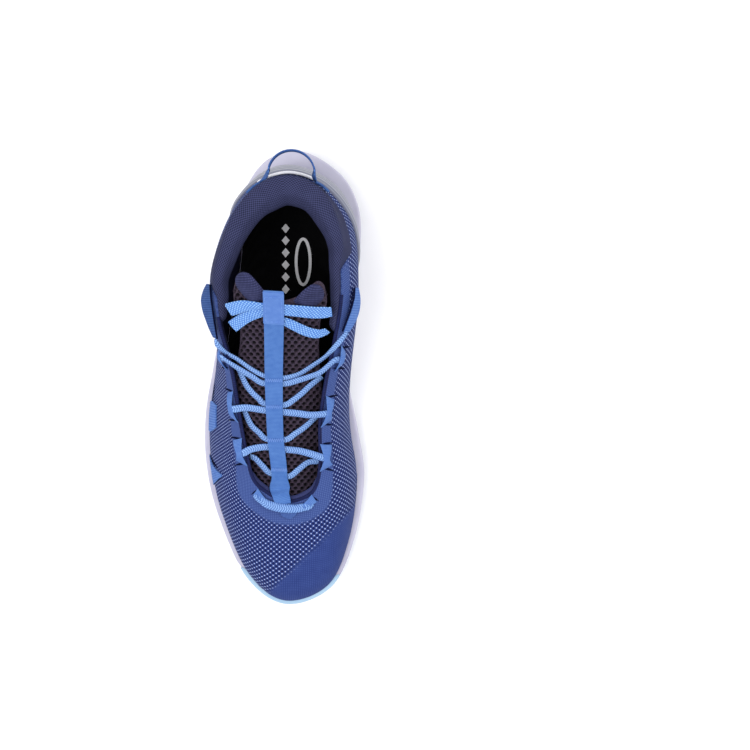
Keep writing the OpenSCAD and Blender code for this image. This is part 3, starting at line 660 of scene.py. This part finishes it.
def flat_pattern():
    """The shell's flat cut in mm: the upper opened at the heel and laid flat, as the real knit is cut."""
    ns, nt = 133, 25
    s, t = grid(np.linspace(-HEEL, HEEL, ns), np.linspace(0, 1, nt))
    points = surface(s, t)
    mesh = bpy.data.meshes.new("flat_pattern")
    mesh.from_pydata((points.reshape(-1, 3) * MM).tolist(), [], quads(ns, nt))
    mesh.uv_layers.new(name="flat")
    obj = add_object("flat_pattern", mesh)
    bpy.ops.object.select_all(action="DESELECT")
    obj.select_set(True)
    bpy.context.view_layer.objects.active = obj
    bpy.ops.object.mode_set(mode="EDIT")
    bpy.ops.mesh.select_all(action="SELECT")
    bpy.ops.uv.unwrap(method="CONFORMAL", margin=0)
    bpy.ops.object.mode_set(mode="OBJECT")
    uv = np.zeros(len(mesh.loops) * 2, np.float32)
    mesh.uv_layers[0].data.foreach_get("uv", uv)
    index = np.zeros(len(mesh.loops), np.int32)
    mesh.loops.foreach_get("vertex_index", index)
    flat = np.zeros((ns * nt, 2))
    flat[index] = uv.reshape(-1, 2)
    flat = flat.reshape(ns, nt, 2)
    bpy.data.objects.remove(obj)
    bpy.data.meshes.remove(mesh)
    # The scale and direction are set on the toe's middle rib, above its point 8.
    mid = ns // 2
    true, drawn = (np.linalg.norm(np.diff(rib[mid, 8:], axis=0), axis=1).sum() for rib in (points, flat))
    ahead = unit(flat[mid, -1] - flat[mid, 8])
    side = np.array([ahead[1], -ahead[0]])
    if (flat[mid + 10, 12] - flat[mid, 12]) @ side < 0:
        side = -side
    flat = (flat - flat[mid, 12]) * true / drawn
    return np.stack([flat @ side, flat @ ahead], -1)


FLAT = flat_pattern()


def knit(s, t):
    """Place on the flat cut, in mm."""
    s, t = np.broadcast_arrays(np.asarray(s, float), np.asarray(t, float))
    ns, nt = FLAT.shape[:2]
    i = np.clip((np.mod(s + HEEL, STATIONS) / STATIONS) * (ns - 1), 0, ns - 1.001)
    j = np.clip(t * (nt - 1), 0, nt - 1.001)
    a, b = np.floor(i).astype(int), np.floor(j).astype(int)
    f, g = (i - a)[..., None], (j - b)[..., None]
    low = FLAT[a, b] * (1 - f) + FLAT[a + 1, b] * f
    high = FLAT[a, b + 1] * (1 - f) + FLAT[a + 1, b + 1] * f
    return low * (1 - g) + high * g


def below_edge(s, t):
    """Distance down the rib from the throat's edge, in mm."""
    steps = 40
    lengths = run(surface(np.asarray(s)[..., None], np.linspace(0, 1, steps + 1)))
    k = np.clip(t * steps, 0, steps - 0.001)
    a = np.floor(k).astype(int)
    low, high = (np.take_along_axis(lengths, i[..., None], -1)[..., 0] for i in (a, a + 1))
    return lengths[..., -1] - (low + (high - low) * (k - a))


def eyestay_width(s):
    """Width of the plain band round the throat: wider across the vamp."""
    s = np.abs(np.mod(s + HEEL, STATIONS) - HEEL)
    return 9.5 + 6.5 * (1 - smoothstep(1.2, 3.2, s))


TOE_LINE = 130.4            # x - y of the slanting edge where the dots end towards the big toe


def upper_masks(s, t, points):
    band = 1 - smoothstep(-1.5, 1.5, below_edge(s, t) - eyestay_width(s))
    band = band * (1 - in_collar(s))
    toe = smoothstep(-3, 4, points[..., 0] - points[..., 1] - TOE_LINE)
    return {"plain": np.maximum(band, toe), "eyestay": band}


def make_upper():
    s, row = grid(np.arange(RIBS) * STATIONS / RIBS, np.linspace(0, 1, ROWS))
    t = row * (1 - (1 - T_COLLAR) * in_collar(s))
    top = over(s, t, 0.0)
    shell = plate(top, over(s, t, -TEXTILE_T), knit(s, t), upper_masks(s, t, top), closed=True)
    piece("knit_shell", shell, M_TEXTILE, ["upper_textile"])
    s, row = s[::2, ::3], row[::2, ::3]
    t = row * (1 - 0.48 * in_collar(s))
    lining = plate(over(s, t, LINING_OUT), over(s, t, LINING_OUT - LINING_T), knit(s, t), closed=True)
    piece("lining_shell", lining, M_LINING, ["lining"])


def film(s, t_low, t_high, rows):
    """A thin film over the upper between two heights, which may change along s."""
    s, f = grid(s, np.linspace(0, 1, rows))
    t = t_low[:, None] + (t_high - t_low)[:, None] * f
    top = over(s, t, 0.3)
    return plate(top, over(s, t, 0.02), knit(s, t), upper_masks(s, t, top))


def make_films():
    steps = np.linspace(0, 1, 101)
    s = np.linspace(-5.9, 6.9, 420)
    drop = below_edge(s[:, None], steps[None])
    low = np.array([np.interp(-w, -d, steps) for w, d in zip(eyestay_width(s), drop)])
    band = film(s, low, np.full(len(s), 0.995), 16)
    piece("eyestay_band", band, M_TEXTILE, ["eyestay"])
    s = np.linspace(-0.78, 3.1, 200)
    points = surface(s[:, None], steps[None])
    past = points[..., 0] - points[..., 1] - TOE_LINE
    high = np.array([np.interp(0, -p, steps) if p[0] > 0 else 0.02 for p in past])
    toe = film(s, np.full(len(s), 0.005), np.clip(high, 0.02, 0.62), 30)
    piece("toe_film", toe, M_TEXTILE, ["toe_overlay"])


def make_throat_rim():
    """The round binding on the throat's edge; its near-black colour is partly the binding's own dark blue and
    partly painted shade of the gap to the tongue.
    """
    s = np.linspace(-6.1, 7.05, 500)
    centre, n = over(s, 0.998, -0.6), normal(s, 0.98)
    side = unit(np.cross(unit(np.gradient(centre, axis=0)), n))
    angle = np.arange(10) * TURN / 10
    circle = 1.25 * (np.cos(angle)[None, :, None] * n[:, None] + np.sin(angle)[None, :, None] * side[:, None])
    coords = pair(s[:, None] * STATION_MM, angle[None] * 1.2)
    piece("throat_rim", sweep(centre[:, None] + circle, coords), M_RIM)


# ---- Collar and heel ----
COLLAR_FROM, COLLAR_TO = 6.15, 16.05
COLLAR_WIDTH = [[6.15, 4], [7, 6], [8, 8], [9, 11.5], [10, 14], [11, 15.5], [12, 15], [13, 12.8], [14, 11],
                [15, 8.5], [15.6, 6.5], [16.05, 4.5]]


def make_collar():
    """One padded roll round the ankle; its two ends run on inside the shell along the throat."""
    s = np.linspace(COLLAR_FROM, COLLAR_TO, 480)
    top = surface(s, 1.0)
    outwards = unit(normal(s, 1.0) * [1, 1, 0])
    width = along(COLLAR_WIDTH, s)
    fuller = 2.2 * window(8.6, 10, 13, 14.4, s)

    def out(k, d, z):
        """A knot z above the top edge and d outwards, moved by k widths of the collar (inwards if k < 0)."""
        return top + outwards * (d + fuller * (d > 0) + k * width)[:, None] + Z * z

    def skin(t, k, d):
        """A knot at t, off the upper's surface by d and k widths of the collar."""
        return over(s, t, d + k * width)

    roll = [skin(0.825, 0, 0.0), skin(0.92, 0, 0.9), out(0, 2.4, 1.5), out(0, 0.6, 4.2), out(-0.3, 0, 5.2),
            out(-0.62, 0, 3.4), out(-0.92, 0, -3), skin(0.875, -1, 0), skin(0.75, -1, 0),
            skin(0.625, -0.8, 0), skin(0.52, 0, -5.5), skin(0.52, 0, LINING_OUT),
            skin(0.675, 0, LINING_OUT), skin(0.80, 0, LINING_OUT)]
    tail = [skin(0.86, 0, -1.35), skin(0.93, 0, -1.35), out(0, -1.3, 0.2), out(0, -1.8, 1.2),
            out(-0.35, -1.4, 1.8), out(-0.7, -1.4, 0.8), out(-0.98, -1.4, -2.5), skin(0.90, -1, -1.4),
            skin(0.84, -1, -1.4), skin(0.78, -0.8, -1), skin(0.73, 0, -4), skin(0.73, 0, LINING_OUT),
            skin(0.78, 0, LINING_OUT), skin(0.82, 0, -1.8)]
    share = in_collar(s)[:, None, None]
    knots = np.stack(roll, 1) * share + np.stack(tail, 1) * (1 - share)
    m = knots.shape[1]
    sections = np.stack([spline(*(knots[:, (k + i) % m] for i in (-1, 0, 1, 2)), f)
                         for k in range(m) for f in np.linspace(0, 1, 8, endpoint=False)], 1)
    length = run(top)
    end = np.minimum(length, length[-1] - length)
    shrink = dome(1 - np.clip(end / 6, 0, 1), 2, 0.02)
    middle = sections.mean(1, keepdims=True)
    dimples = 1 + 0.02 * np.sin(length / 9.0) + 0.015 * np.sin(length / 4.1 + 1)
    sections = middle + (sections - middle) * (shrink * dimples)[:, None, None]
    # The knit's V meets at station 11.2; across the roll it is measured from point 24, at the outer top.
    girth = run(sections)
    girth -= girth[:, 24:25]
    coords = pair((length - np.interp(11.2, s, length))[:, None], girth)
    collar = piece("collar_pad", sweep(sections, coords), M_COLLAR, ["collar_padding"])


def make_heel_parts():
    centre, reach, height = 10.7, 3.5, 0.77
    f = np.sin(np.linspace(-1, 1, 160) * math.pi / 2) * 0.995
    high = height * np.sqrt(1 - f ** 2) + 0.02
    s, row = grid(centre + reach * f, np.linspace(0, 1, 60))
    t = 0.005 + (high[:, None] - 0.005) * row
    grooves = 0.45 * np.cos(row * TURN * 9) * window(0.25, 0.4, 0.9, 1, row)
    edge = np.minimum(1, (1 - row) * 12)
    top = over(s, t, 0.3 + 1.7 * edge ** 0.5 + np.minimum(grooves, 0))
    clip = plate(top, over(s, t, 0.1), np.stack([s * STATION_MM, t * 90], -1))
    piece("heel_clip_shell", clip, M_CLIP, ["heel_clip"], crease=60)
    piping = [(v, 0.79, 0.6, 3 * math.sqrt(1.02 - f ** 6))
              for v, f in zip(np.linspace(10.25, 12.05, 25), np.linspace(-1, 1, 25))]
    piece("heel_piping_strip", ribbon(upper_rows(piping, 1.5)), M_PIPING, ["heel_piping"])


# ---- Tongue ----
def hole_mask(x, y):
    """Staggered oval holes of the spacer mesh."""
    pitch, row_gap = 4.4, 2.4
    row = np.round(y / row_gap)
    shifted = x - np.mod(row, 2) * pitch / 2
    dx = shifted - np.round(shifted / pitch) * pitch
    dy = y - row * row_gap
    return smoothstep(1.2, 0.75, np.sqrt((dx / 1.3) ** 2 + (dy / 1.05) ** 2))


def make_tongue():
    f, c = grid(np.linspace(-1, 1, 121), np.linspace(0, 1, 320))
    y = TONGUE_ROOT + (along(TONGUE_END, f) - TONGUE_ROOT) * c
    x = along(TONGUE_X, y) + f * (tongue_half(y) + 4 * smoothstep(32, 46, y))
    hole = hole_mask(x, y) * smoothstep(0.97, 0.9, np.abs(f)) * smoothstep(0.995, 0.97, c)
    edge = 2.2 * np.clip((np.abs(f) - 0.9) / 0.1, 0, 1) ** 2 + 2.2 * np.clip((c - 0.975) / 0.025, 0, 1) ** 2
    middle = np.stack([x, y, tongue_z(x, y)], -1)
    top = middle - tongue_up(x, y) * (hole * 1.5 + edge)[..., None]
    bottom = middle - tongue_up(x * 0.7, y) * (TONGUE_THICKNESS - edge)[..., None]
    # The hole mask sinks the holes and, in the material, paints them near black as shade.
    shape = plate(top, bottom, np.stack([x, y], -1), {"hole": hole})
    tongue = piece("tongue_sheet", shape, M_MESH, ["tongue_lower", "tongue_upper"], body=None)
    across_fold(tongue)


def make_pad(name, node, base, tip, widths, puff):
    """A padded lobe that swells from a seam, between two places on the tongue; widths are half widths."""
    a, b = np.array(base, float), np.array(tip, float)
    ahead = unit(b - a)
    side = np.array([ahead[1], -ahead[0]])
    g, h = grid(np.linspace(0, 1, 60), np.linspace(-1, 1, 41))
    half = along([[k / (len(widths) - 1), w] for k, w in enumerate(widths)], np.clip(g, 0, 0.999))
    half = half * dome(np.clip((g - 0.72) / 0.28, 0, 1), 2, 0.001)
    place = a + ahead * (g * np.linalg.norm(b - a))[..., None] + side * (half * h)[..., None]
    x, y = place[..., 0], place[..., 1]
    swell = dome(h, 3) * dome(np.clip((g - 0.7) / 0.3, 0, 1), 3) * smoothstep(-0.05, 0.25, g)
    middle, up = np.stack([x, y, tongue_z(x, y)], -1), tongue_up(x, y)
    top = middle + up * (0.4 + puff * swell)[..., None]
    bottom = middle + up * (0.3 - 1.2 * swell)[..., None]
    pad = plate(top, bottom, np.stack([x - a[0], y], -1))
    pad = piece(name, pad, M_PAD, [node], body=TONGUE_TOP)


# ---- Keeper webbing and laces ----
LACE_LIFT = 0.7             # over the tongue
LACE_OFF = 1.7              # over the upper
LACE_T, STRAP_T, WEBBING_T = 1.3, 1.1, 0.9
STRAP_LIFT = LACE_LIFT + LACE_T + 0.5
OVER, UNDER = 0, 1
# Rows of lace: kind, width, stations at the left and right end, then places on the tongue from left to right.
ROWS_OF_LACE = [
    (UNDER, 4.2, 19.0, 3.0, [(-16.5, -52), (-12, -56.8), (-7, -61)],
     [(4, -63.2), (10.7, -59), (16.6, -54.5)]),
    (OVER, 4.9, 18.72, 3.25, [(-18.5, -45.5), (-9, -43.8)], [(3, -45.4), (11, -46.6), (18, -48.4)]),
    (UNDER, 4.2, 17.85, 4.1, [(-18.8, -29.7), (-13.8, -34.8), (-8.7, -38.6)],
     [(2.7, -39), (9, -35.5), (15, -31.3)]),
    (OVER, 4.9, 17.7, 4.3, [(-21, -18.8), (-9.6, -20)], [(2.5, -21.2), (11, -22.4), (18.5, -23.4)]),
    (UNDER, 4.2, 17.0, 5.05, [(-21.3, -3.6), (-17.4, -9), (-13.1, -13), (-9.5, -15.6)],
     [(2.6, -16.6), (8.7, -13.5), (14, -9.3), (19, -4.6)]),
    (OVER, 4.3, 16.72, 5.6, [(-23, 4.6), (-17, 1), (-9.8, -2.8)], [(3.3, -3), (12, -1.2), (19, 1), (26, 4)])]


def on_tongue(x, y, h):
    up = tongue_up(x, y)
    return np.r_[np.array([x, y, tongue_z(x, y)]) + up * h, up]


def strap_row(y, lift, width, thick):
    """A ribbon row on the keeper webbing's middle line."""
    return np.r_[on_tongue(along(STRAP_X, y), y, lift), width, thick]


def make_keeper():
    widths = [[-71, 13.2], [-67.5, 12.4], [-64, 10.4], [-50, 10.4], [-30, 10.6], [0, 11.4], [30, 12.2],
              [55, 12.8]]
    foot = [(0.9, -82, 63.6, 10.2), (0.5, -79.6, 64, 10.6), (-0.7, -75.5, 63, 11.2)]
    rows = [np.r_[x, y, z, 0, 0.2, 1, w, STRAP_T] for x, y, z, w in foot]
    rows += [strap_row(y, STRAP_LIFT, along(widths, y), STRAP_T) for y in np.linspace(-70.5, 54.5, 40)]
    strap = piece("keeper_strap", webbing(rows, 0.8), M_STRAP,
                  ["keeper_lower", "keeper_upper"], body=None)
    across_fold(strap)
    rows = [strap_row(y, STRAP_LIFT + STRAP_T, 12.9, 1.0) for y in np.linspace(36, 54.6, 8)]
    piece("keeper_fold", webbing(rows, 0.8), M_FOLD, body=TONGUE_TOP)


def thread(rows, radius=0.28):
    """A round thread along rows of [point, up]."""
    return ribbon([np.r_[row, radius * 2, radius * 2] for row in rows], 0.35, 6, square=1.0)


def make_tacks():
    """The zigzag stitches across the keeper webbing, and the box of stitches on its folded top."""
    shapes, turns = [], 16
    for y in (-57.6, -38, -16.7, 0.4):
        x0 = along(STRAP_X, y)
        shapes.append(thread([
            on_tongue(x0 - 4.6 + 9.2 * k / turns, y + (1.0 if k % 2 else -1.0), STRAP_LIFT + STRAP_T)
            for k in range(turns + 1)]))
    piece("tack_stitches", shapes, M_STITCH, ["bar_tacks"])
    x0, shapes, lift = along(STRAP_X, 45), [], STRAP_LIFT + STRAP_T + 0.9
    corners = [(-4.6, 37.5), (4.6, 37.5), (4.6, 52.5), (-4.6, 52.5), (-4.6, 37.5)]
    for (ax, ay), (bx, by) in zip(corners, corners[1:]):
        count = int(math.hypot(bx - ax, by - ay) / 2.2)
        for k in range(count):
            shapes.append(thread([on_tongue(x0 + ax + (bx - ax) * f / count, ay + (by - ay) * f / count, lift)
                                  for f in (k + 0.15, k + 0.5, k + 0.85)], 0.22))
    piece("keeper_stitches", shapes, M_STITCH, body=TONGUE_TOP)


def lace_end(kind, s):
    if kind == OVER:
        return [on_upper(s, t, LACE_OFF + h) for t, h in ((0.88, -0.9), (0.93, 0), (1.0, 0.5))]
    p = over(s, 0.985, -6.4)
    return [np.r_[p, tongue_up(p[0], p[1])]]


def lace_arm(places, end):
    """Places on the tongue, from the keeper out; the lace leaves it where the way to its end is straight."""
    first = on_tongue(*places[0], LACE_LIFT)
    total = math.dist(places[0], end[:2])
    rows = [first]
    for x, y in places[1:]:
        f = math.dist(places[0], (x, y)) / total
        z = max(tongue_z(x, y) + LACE_LIFT / math.cos(math.pi / 4) + f, first[2] + (end[2] - first[2]) * f)
        rows.append(np.r_[x, y, z, tongue_up(x * 0.8, y)])
    return rows


def lace_row(kind, width, left, right, left_places, right_places):
    a, b = lace_end(kind, left), lace_end(kind, right)
    rows = a + lace_arm(left_places[::-1], a[-1])[::-1] + lace_arm(right_places, b[-1]) + b[::-1]
    return [np.r_[r, width, LACE_T] for r in rows]


def braid(u, v):
    return 0.2 * np.cos(TURN * (u + 0.5 * np.abs(v)) / 1.5)


def coil(u, v):
    return 0.32 * np.cos(TURN * (u + 0.25 * v) / 2.0)


def make_lace():
    shapes = [ribbon(lace_row(*row), 0.35, 16, braid) for row in ROWS_OF_LACE]
    toe = [(20.6, 0.915, 0.2, 2.4), (20.78, 0.925, 1.3, 4.2), (21.0, 0.935, 1.9, 5), (21.3, 0.94, 2.2, 5.6),
           (21.75, 0.955, 2.4, 5.8), (0.12, 0.96, 2.4, 5.8), (0.6, 0.955, 2.2, 5.6), (0.95, 0.945, 2, 5.3),
           (1.15, 0.93, 1.6, 4.8), (1.36, 0.925, 0.5, 3.4)]
    shapes.append(ribbon(upper_rows(toe, 1.9), 0.35, 16, coil))
    # The top row runs from the lateral flap under the keeper to the medial flap.
    middle = [(-29, 18.3, 4.7), (-24, 13.2, 2.2), (-16.8, 6.6, 0.6), (-9.6, 2.2, 0), (-3, 0.8, 0),
              (4, 0.9, 0), (12, 3.4, 0.3), (19.2, 8.8, 1.2), (26.5, 16, 3.3)]
    wings = [np.r_[over(16.34, 0.96, 3.0), normal(16.34, 0.93)], np.r_[over(16.45, 1.0, 3.6), 0, -0.4, 1]]
    wings += [on_tongue(x, y, LACE_LIFT + h) for x, y, h in middle]
    wings += [np.r_[over(6.05, 1.0, 3.2), 0, -0.4, 1], on_upper(6.3, 0.94, 3.0)]
    shapes.append(ribbon([np.r_[r, 3.3, 1.5] for r in wings], 0.35, 16, braid))
    piece("lace_rows", shapes, M_LACE, ["lace"], crease=60)


def ridges(u, v):
    return 0.22 * np.cos(TURN * v / 1.7)


def checks(u, v):
    return 0.26 * np.cos(TURN * (u + v) / 2.6) * np.cos(TURN * (u - v) / 2.6)


def make_bow():
    """The bow's four flat ends, under the folded top of the keeper, as places (x, y, width, height)."""
    ends = [
        (ridges, [(2, 45, 4.6, 1), (-8.4, 46, 5.6, 1.8), (-13, 46.6, 7.4, 2.2), (-19, 46.8, 9, 3),
                  (-26.6, 45.4, 9.2, 4.6)]),
        (ridges, [(1, 42.5, 5, 0), (-7, 41.5, 6.2, 0.4), (-13, 40.6, 7.2, 0.8), (-19, 38.6, 7.8, 1.8),
                  (-25.6, 34.4, 8.2, 3.2)]),
        (checks, [(-2, 43.6, 8.6, 1.4), (4.9, 43.4, 9, 1.6), (12, 43.2, 9.2, 2.2), (20.4, 43.2, 9.2, 3.6),
                  (26.4, 44.2, 9, 5.2), (29.2, 45.6, 8.6, 6.6)]),
        (checks, [(-1, 37, 5.5, 0), (5.1, 35.4, 6.6, 0.2), (11.5, 32.6, 6.8, 0.8), (17.2, 30.2, 6.8, 1.4),
                  (22.6, 29.6, 6.8, 2.6), (26, 31.2, 6.6, 3.6), (27.6, 32.8, 6.2, 4.4)])]
    shapes = []
    for relief, path in ends:
        rows = [np.r_[on_tongue(x, y, LACE_LIFT + h), w, LACE_T] for x, y, w, h in path]
        shapes.append(ribbon(rows, 0.35, 20, relief))
    piece("bow_ends", shapes, M_BOW, ["lace_tails"], body=TONGUE_TOP, crease=60)


# Loops by side: the wedge at the end of the toe's lace row as (s, t, height, width), then each loop's place
# (s, t), reach to both sides and width at its slits.
LOOPS = {
    "lateral": (((21.0, 0.95, 3.0, 3), (20.76, 0.95, 2.4, 4.4), (20.5, 0.945, 0.2, 5.6)),
                ((16.72, 0.93, 0.2, 6.5), (17.68, 0.955, 0.27, 8), (18.74, 0.955, 0.33, 9))),
    "medial": (((0.95, 0.95, 3.2, 3), (1.28, 0.95, 2.4, 4.6), (1.6, 0.945, 0.2, 6.5)),
               ((3.22, 0.955, 0.3, 10), (4.32, 0.95, 0.3, 10), (5.62, 0.93, 0.25, 8)))}


def loop_over(s, t, reach, wide):
    """A webbing loop out of one slit, pinched by the lace that it holds, and into the next slit."""
    rows, narrow = [], 4.2
    for k in np.linspace(-1, 1, 15):
        h = 0.1 + (LACE_OFF + LACE_T + 0.5) * (1 - abs(k) ** 2)
        rows.append((s + k * reach, t - 0.035 * abs(k) ** 2, h, narrow + (wide - narrow) * abs(k) ** 1.3))
    return webbing(upper_rows(rows, WEBBING_T), 0.5)


def slit(a, b, width):
    """A dark lens-shaped sheet between two places on the upper: painted shadow for the opening of a slit."""
    rows = []
    for f in np.linspace(0, 1, 9):
        s, t = a[0] + (b[0] - a[0]) * f, a[1] + (b[1] - a[1]) * f
        rows.append((s, t, 0.28, max(width * math.sin(math.pi * f), 0.15)))
    return ribbon(upper_rows(rows, 0.35), 0.6, 8)


def make_loops():
    slits = []
    for side, (toe, places) in LOOPS.items():
        shapes = [webbing(upper_rows(toe, WEBBING_T), 0.5)]
        slits.append(slit((toe[-1][0], 0.895), (toe[-1][0], 0.99), 1.2))
        for s, t, reach, wide in places:
            shapes.append(loop_over(s, t, reach, wide))
            slits += [slit((s + d * (reach + 0.04), t - 0.16), (s + d * (reach + 0.01), t + 0.045), 1.5)
                      for d in (-1, 1)]
        piece("loops_" + side, shapes, M_WEBBING, ["lace_loops_" + side])
    slits += [slit((17.35, 0.40), (17.72, 0.34), 1.3), slit((18.78, 0.16), (19.1, 0.46), 1.3),
              slit((19.42, 0.16), (19.36, 0.5), 1.2)]
    piece("slit_painted_shadows", slits, M_SLIT)


def patch(edge_a, edge_b, thick):
    """Webbing between two curves of (s, t, height) places over the upper."""
    def even(edge):
        found, length = curve([np.r_[surface(s, t), s, t, h] for s, t, h in edge], 0.5)
        places = np.linspace(0, length[-1], 36)
        return np.stack([np.interp(places, length, found[:, k]) for k in (3, 4, 5)], 1)

    a, b = even(edge_a), even(edge_b)
    f = np.linspace(0, 1, 10)[None, :, None]
    s, t, h = np.moveaxis(a[:, None] * (1 - f) + b[:, None] * f, -1, 0)
    return plate(over(s, t, h + thick), over(s, t, h), np.stack([s * STATION_MM, t * 80], -1))


def make_side_webbing():
    first = patch([(17.70, 0.22, 0.1), (17.68, 0.36, 0.2), (17.74, 0.52, 0.1)],
                  [(18.28, 0.2, 0.1), (18.30, 0.34, 0.4), (18.20, 0.5, 0.1)], 0.8)
    second = patch([(18.80, 0.12, 0.1), (19.04, 0.34, 0.4), (19.28, 0.54, 0.1)],
                   [(19.42, 0.12, 0.1), (19.40, 0.34, 0.4), (19.34, 0.54, 0.1)], 0.8)
    piece("side_bands", [first, second], M_WEBBING, ["side_webbing"])


def make_wings():
    """The flaps on the collar's front, between a lower and an upper edge, and a dark thread along each upper
    edge: painted shadow for the gap between flap and collar.
    """
    lateral = ([(15.1, 0.84, 1.2), (15.3, 0.81, 3.6), (15.5, 0.80, 5.2), (15.75, 0.815, 5.2),
                (16.0, 0.85, 4.2), (16.3, 0.92, 3.0)],
               [(15.1, 0.92, 0.2), (15.3, 0.935, 0.3), (15.5, 0.94, 0.3), (15.75, 0.95, 0.4),
                (16.0, 0.96, 0.8), (16.33, 0.975, 2.0)])
    medial = ([(7.24, 0.80, 1.2), (7.05, 0.78, 1.8), (6.84, 0.78, 2.1), (6.6, 0.83, 2.4), (6.3, 0.91, 2.4)],
              [(7.24, 0.86, 1.0), (7.05, 0.88, 1.6), (6.9, 0.90, 1.8), (6.68, 0.93, 2.2), (6.3, 0.97, 2.4)])
    piece("wing_lateral_flap", patch(*lateral, 1.2), M_WING, ["wing_lateral"])
    piece("wing_medial_flap", patch(*medial, 1.2), M_WEBBING, ["wing_medial"])
    # Near-black threads along the upper edges: painted shadow of the gap under each flap.
    shadow_lines = [thread([on_upper(s, t + 0.012, h * 0.8 + 0.7) for s, t, h in edge], 0.6)
                for edge in (lateral[1], medial[1])]
    piece("wing_painted_shadow_lines", shadow_lines, M_SLIT)


def make_throat_tab():
    places = [(0.25, 0.888, 0.4, 3), (0.25, 0.90, 0.8, 6.5), (0.25, 0.915, 1.0, 10), (0.25, 0.94, 1.1, 12)]
    tab = ribbon(upper_rows(places, WEBBING_T), 0.5)
    piece("throat_tab_band", tab, M_TAB, ["throat_tab"])


def make_throat_facing():
    """The folded edge of the lining that shows inside the front of the throat."""
    s = np.linspace(-2.5, 2.6, 240)
    width = 4.6
    reach = width * dome((s - 0.05) / 2.56, 4, 0.01)
    edge, n = surface(s, 0.985)[:, None], normal(s, 0.97)[:, None]
    inward = -unit(n * [1, 1, 0])
    f = np.linspace(0, 1, 8)[None, :, None]
    top = edge - n * 1.4 + inward * reach[:, None, None] * f - Z * (1.2 * f + 1.6 * f ** 3)
    coords = pair(s[:, None] * STATION_MM, f[..., 0] * width)
    piece("throat_facing", plate(top, top - Z * 1.0, coords), M_FACING)


# ---- Pull loop ----
def make_pull_loop():
    """The heel loop: a half ring behind the collar, and a narrowing foot on each side of it."""
    radius, middle, base, z, width, thick = 14, 8.0, 127.2, 111.5, 9.0, 1.2
    medial, lateral = ([(s, T_COLLAR, 1.2, w) for s, w in feet] for feet in (
        ((9.75, 2.4), (10.0, 3.0), (10.25, 4.0)), ((11.95, 4.0), (12.2, 3.0), (12.45, 2.4))))
    rows = upper_rows(medial, thick)
    for a in np.linspace(0.05, math.pi - 0.05, 13):
        c, s = math.cos(a), math.sin(a)
        rows.append(np.r_[middle + radius * c, base + radius * s, z, c, s, 0, width, thick])
    rows += upper_rows(lateral, thick)
    loop = piece("pull_loop_band", ribbon(rows, 0.7, 12, square=0.25), M_LOOP,
                 ["pull_loop", "pull_loop_anchor"], body=None)
    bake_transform(loop)


# ---- Footbed print, floor, light and camera ----
PRINT_Z = 38.2              # the footbed's face under the print


def make_print():
    """Plain marks printed on the footbed: a column of small diamonds and an oval ring."""
    corners = [(-2.6, 0), (0, -3.2), (2.6, 0), (0, 3.2)]
    faces = [[3, 2, 1, 0], [4, 5, 6, 7]] + [[k, (k + 1) % 4, 4 + (k + 1) % 4, 4 + k] for k in range(4)]
    shapes = []
    for y in range(58, 99, 8):
        points = np.array([[1.5 + px, y + py, PRINT_Z + lift] for lift in (0, 0.15) for px, py in corners])
        shapes.append({"points": points, "faces": faces, "coords": points[:, :2], "masks": {}})
    turn = np.arange(48) * TURN / 48
    rows = [np.r_[13 + 4.6 * math.cos(a), 76 + 15 * math.sin(a), PRINT_Z, Z, 2.0, 0.2] for a in turn]
    shapes.append(ribbon(np.array(rows + rows[:1]), 0.8, 8))
    piece("footbed_print", shapes, M_PRINT)


def dress_frame():
    """Materials for the CAD nodes that stay in view."""
    for node, material in (("tread", M_OUTSOLE), ("shank_plate", M_PLATE), ("strobel_board", M_BOARD),
                           ("toe_puff", M_BOARD), ("heel_stiffener", M_BOARD)):
        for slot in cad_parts[node].material_slots:
            slot.material = material


def make_stage():
    """A white paper floor, a white world and two soft lamps; places and sizes in metres."""
    bpy.ops.mesh.primitive_plane_add(size=12, location=(0, 0, 0))
    floor = bpy.context.object
    floor.name = "floor"
    floor.data.materials.append(Graph("floor_paper", 0.9, 0.1).colour((252, 252, 252)))
    world = bpy.data.worlds.new("studio")
    bpy.context.scene.world = world
    world.use_nodes = True
    background = world.node_tree.nodes["Background"].inputs
    background[0].default_value, background[1].default_value = (1, 1, 1, 1), 0.85
    for name, place, size, energy in (("key", (-0.5, -0.35, 2.1), 1.0, 26),
                                      ("fill", (0.9, 0.5, 1.8), 1.4, 11)):
        light = bpy.data.lights.new(name, "AREA")
        light.energy, light.size = energy, size
        lamp = add_object(name, light)
        lamp.location = place
        lamp.rotation_euler = (-Vector(place)).to_track_quat("-Z", "Y").to_euler()


def make_camera():
    """The photo's view: straight down from 1.5 m, a little beside the shoe."""
    camera = bpy.data.cameras.new("camera")
    camera.sensor_width, camera.lens = 36, 106.8
    obj = add_object("camera", camera)
    obj.location = (0.0602, 0.00165, 1.5)
    obj.rotation_euler = (0, 0, 0)
    bpy.context.scene.camera = obj
    bpy.context.scene.view_settings.view_transform = "Standard"


make_camera()
make_stage()
dress_frame()
make_midsole()
make_outsole()
make_toe_bumper()
make_insole()
make_print()
make_upper()
make_films()
make_throat_rim()
make_throat_facing()
make_collar()
make_heel_parts()
make_tongue()
make_pad("pad_lateral", "tongue_pad_lateral", (-9, 47), (-22.6, 63), [5, 5.4, 5.6, 5.4, 5], 2.8)
make_pad("pad_medial", "tongue_pad_medial", (13.5, 43.5), (27.6, 55.4), [5, 5.4, 5.6, 5.2, 4.8], 2.4)
make_keeper()
make_tacks()
make_lace()
make_bow()
make_loops()
make_side_webbing()
make_wings()
make_throat_tab()
make_pull_loop()
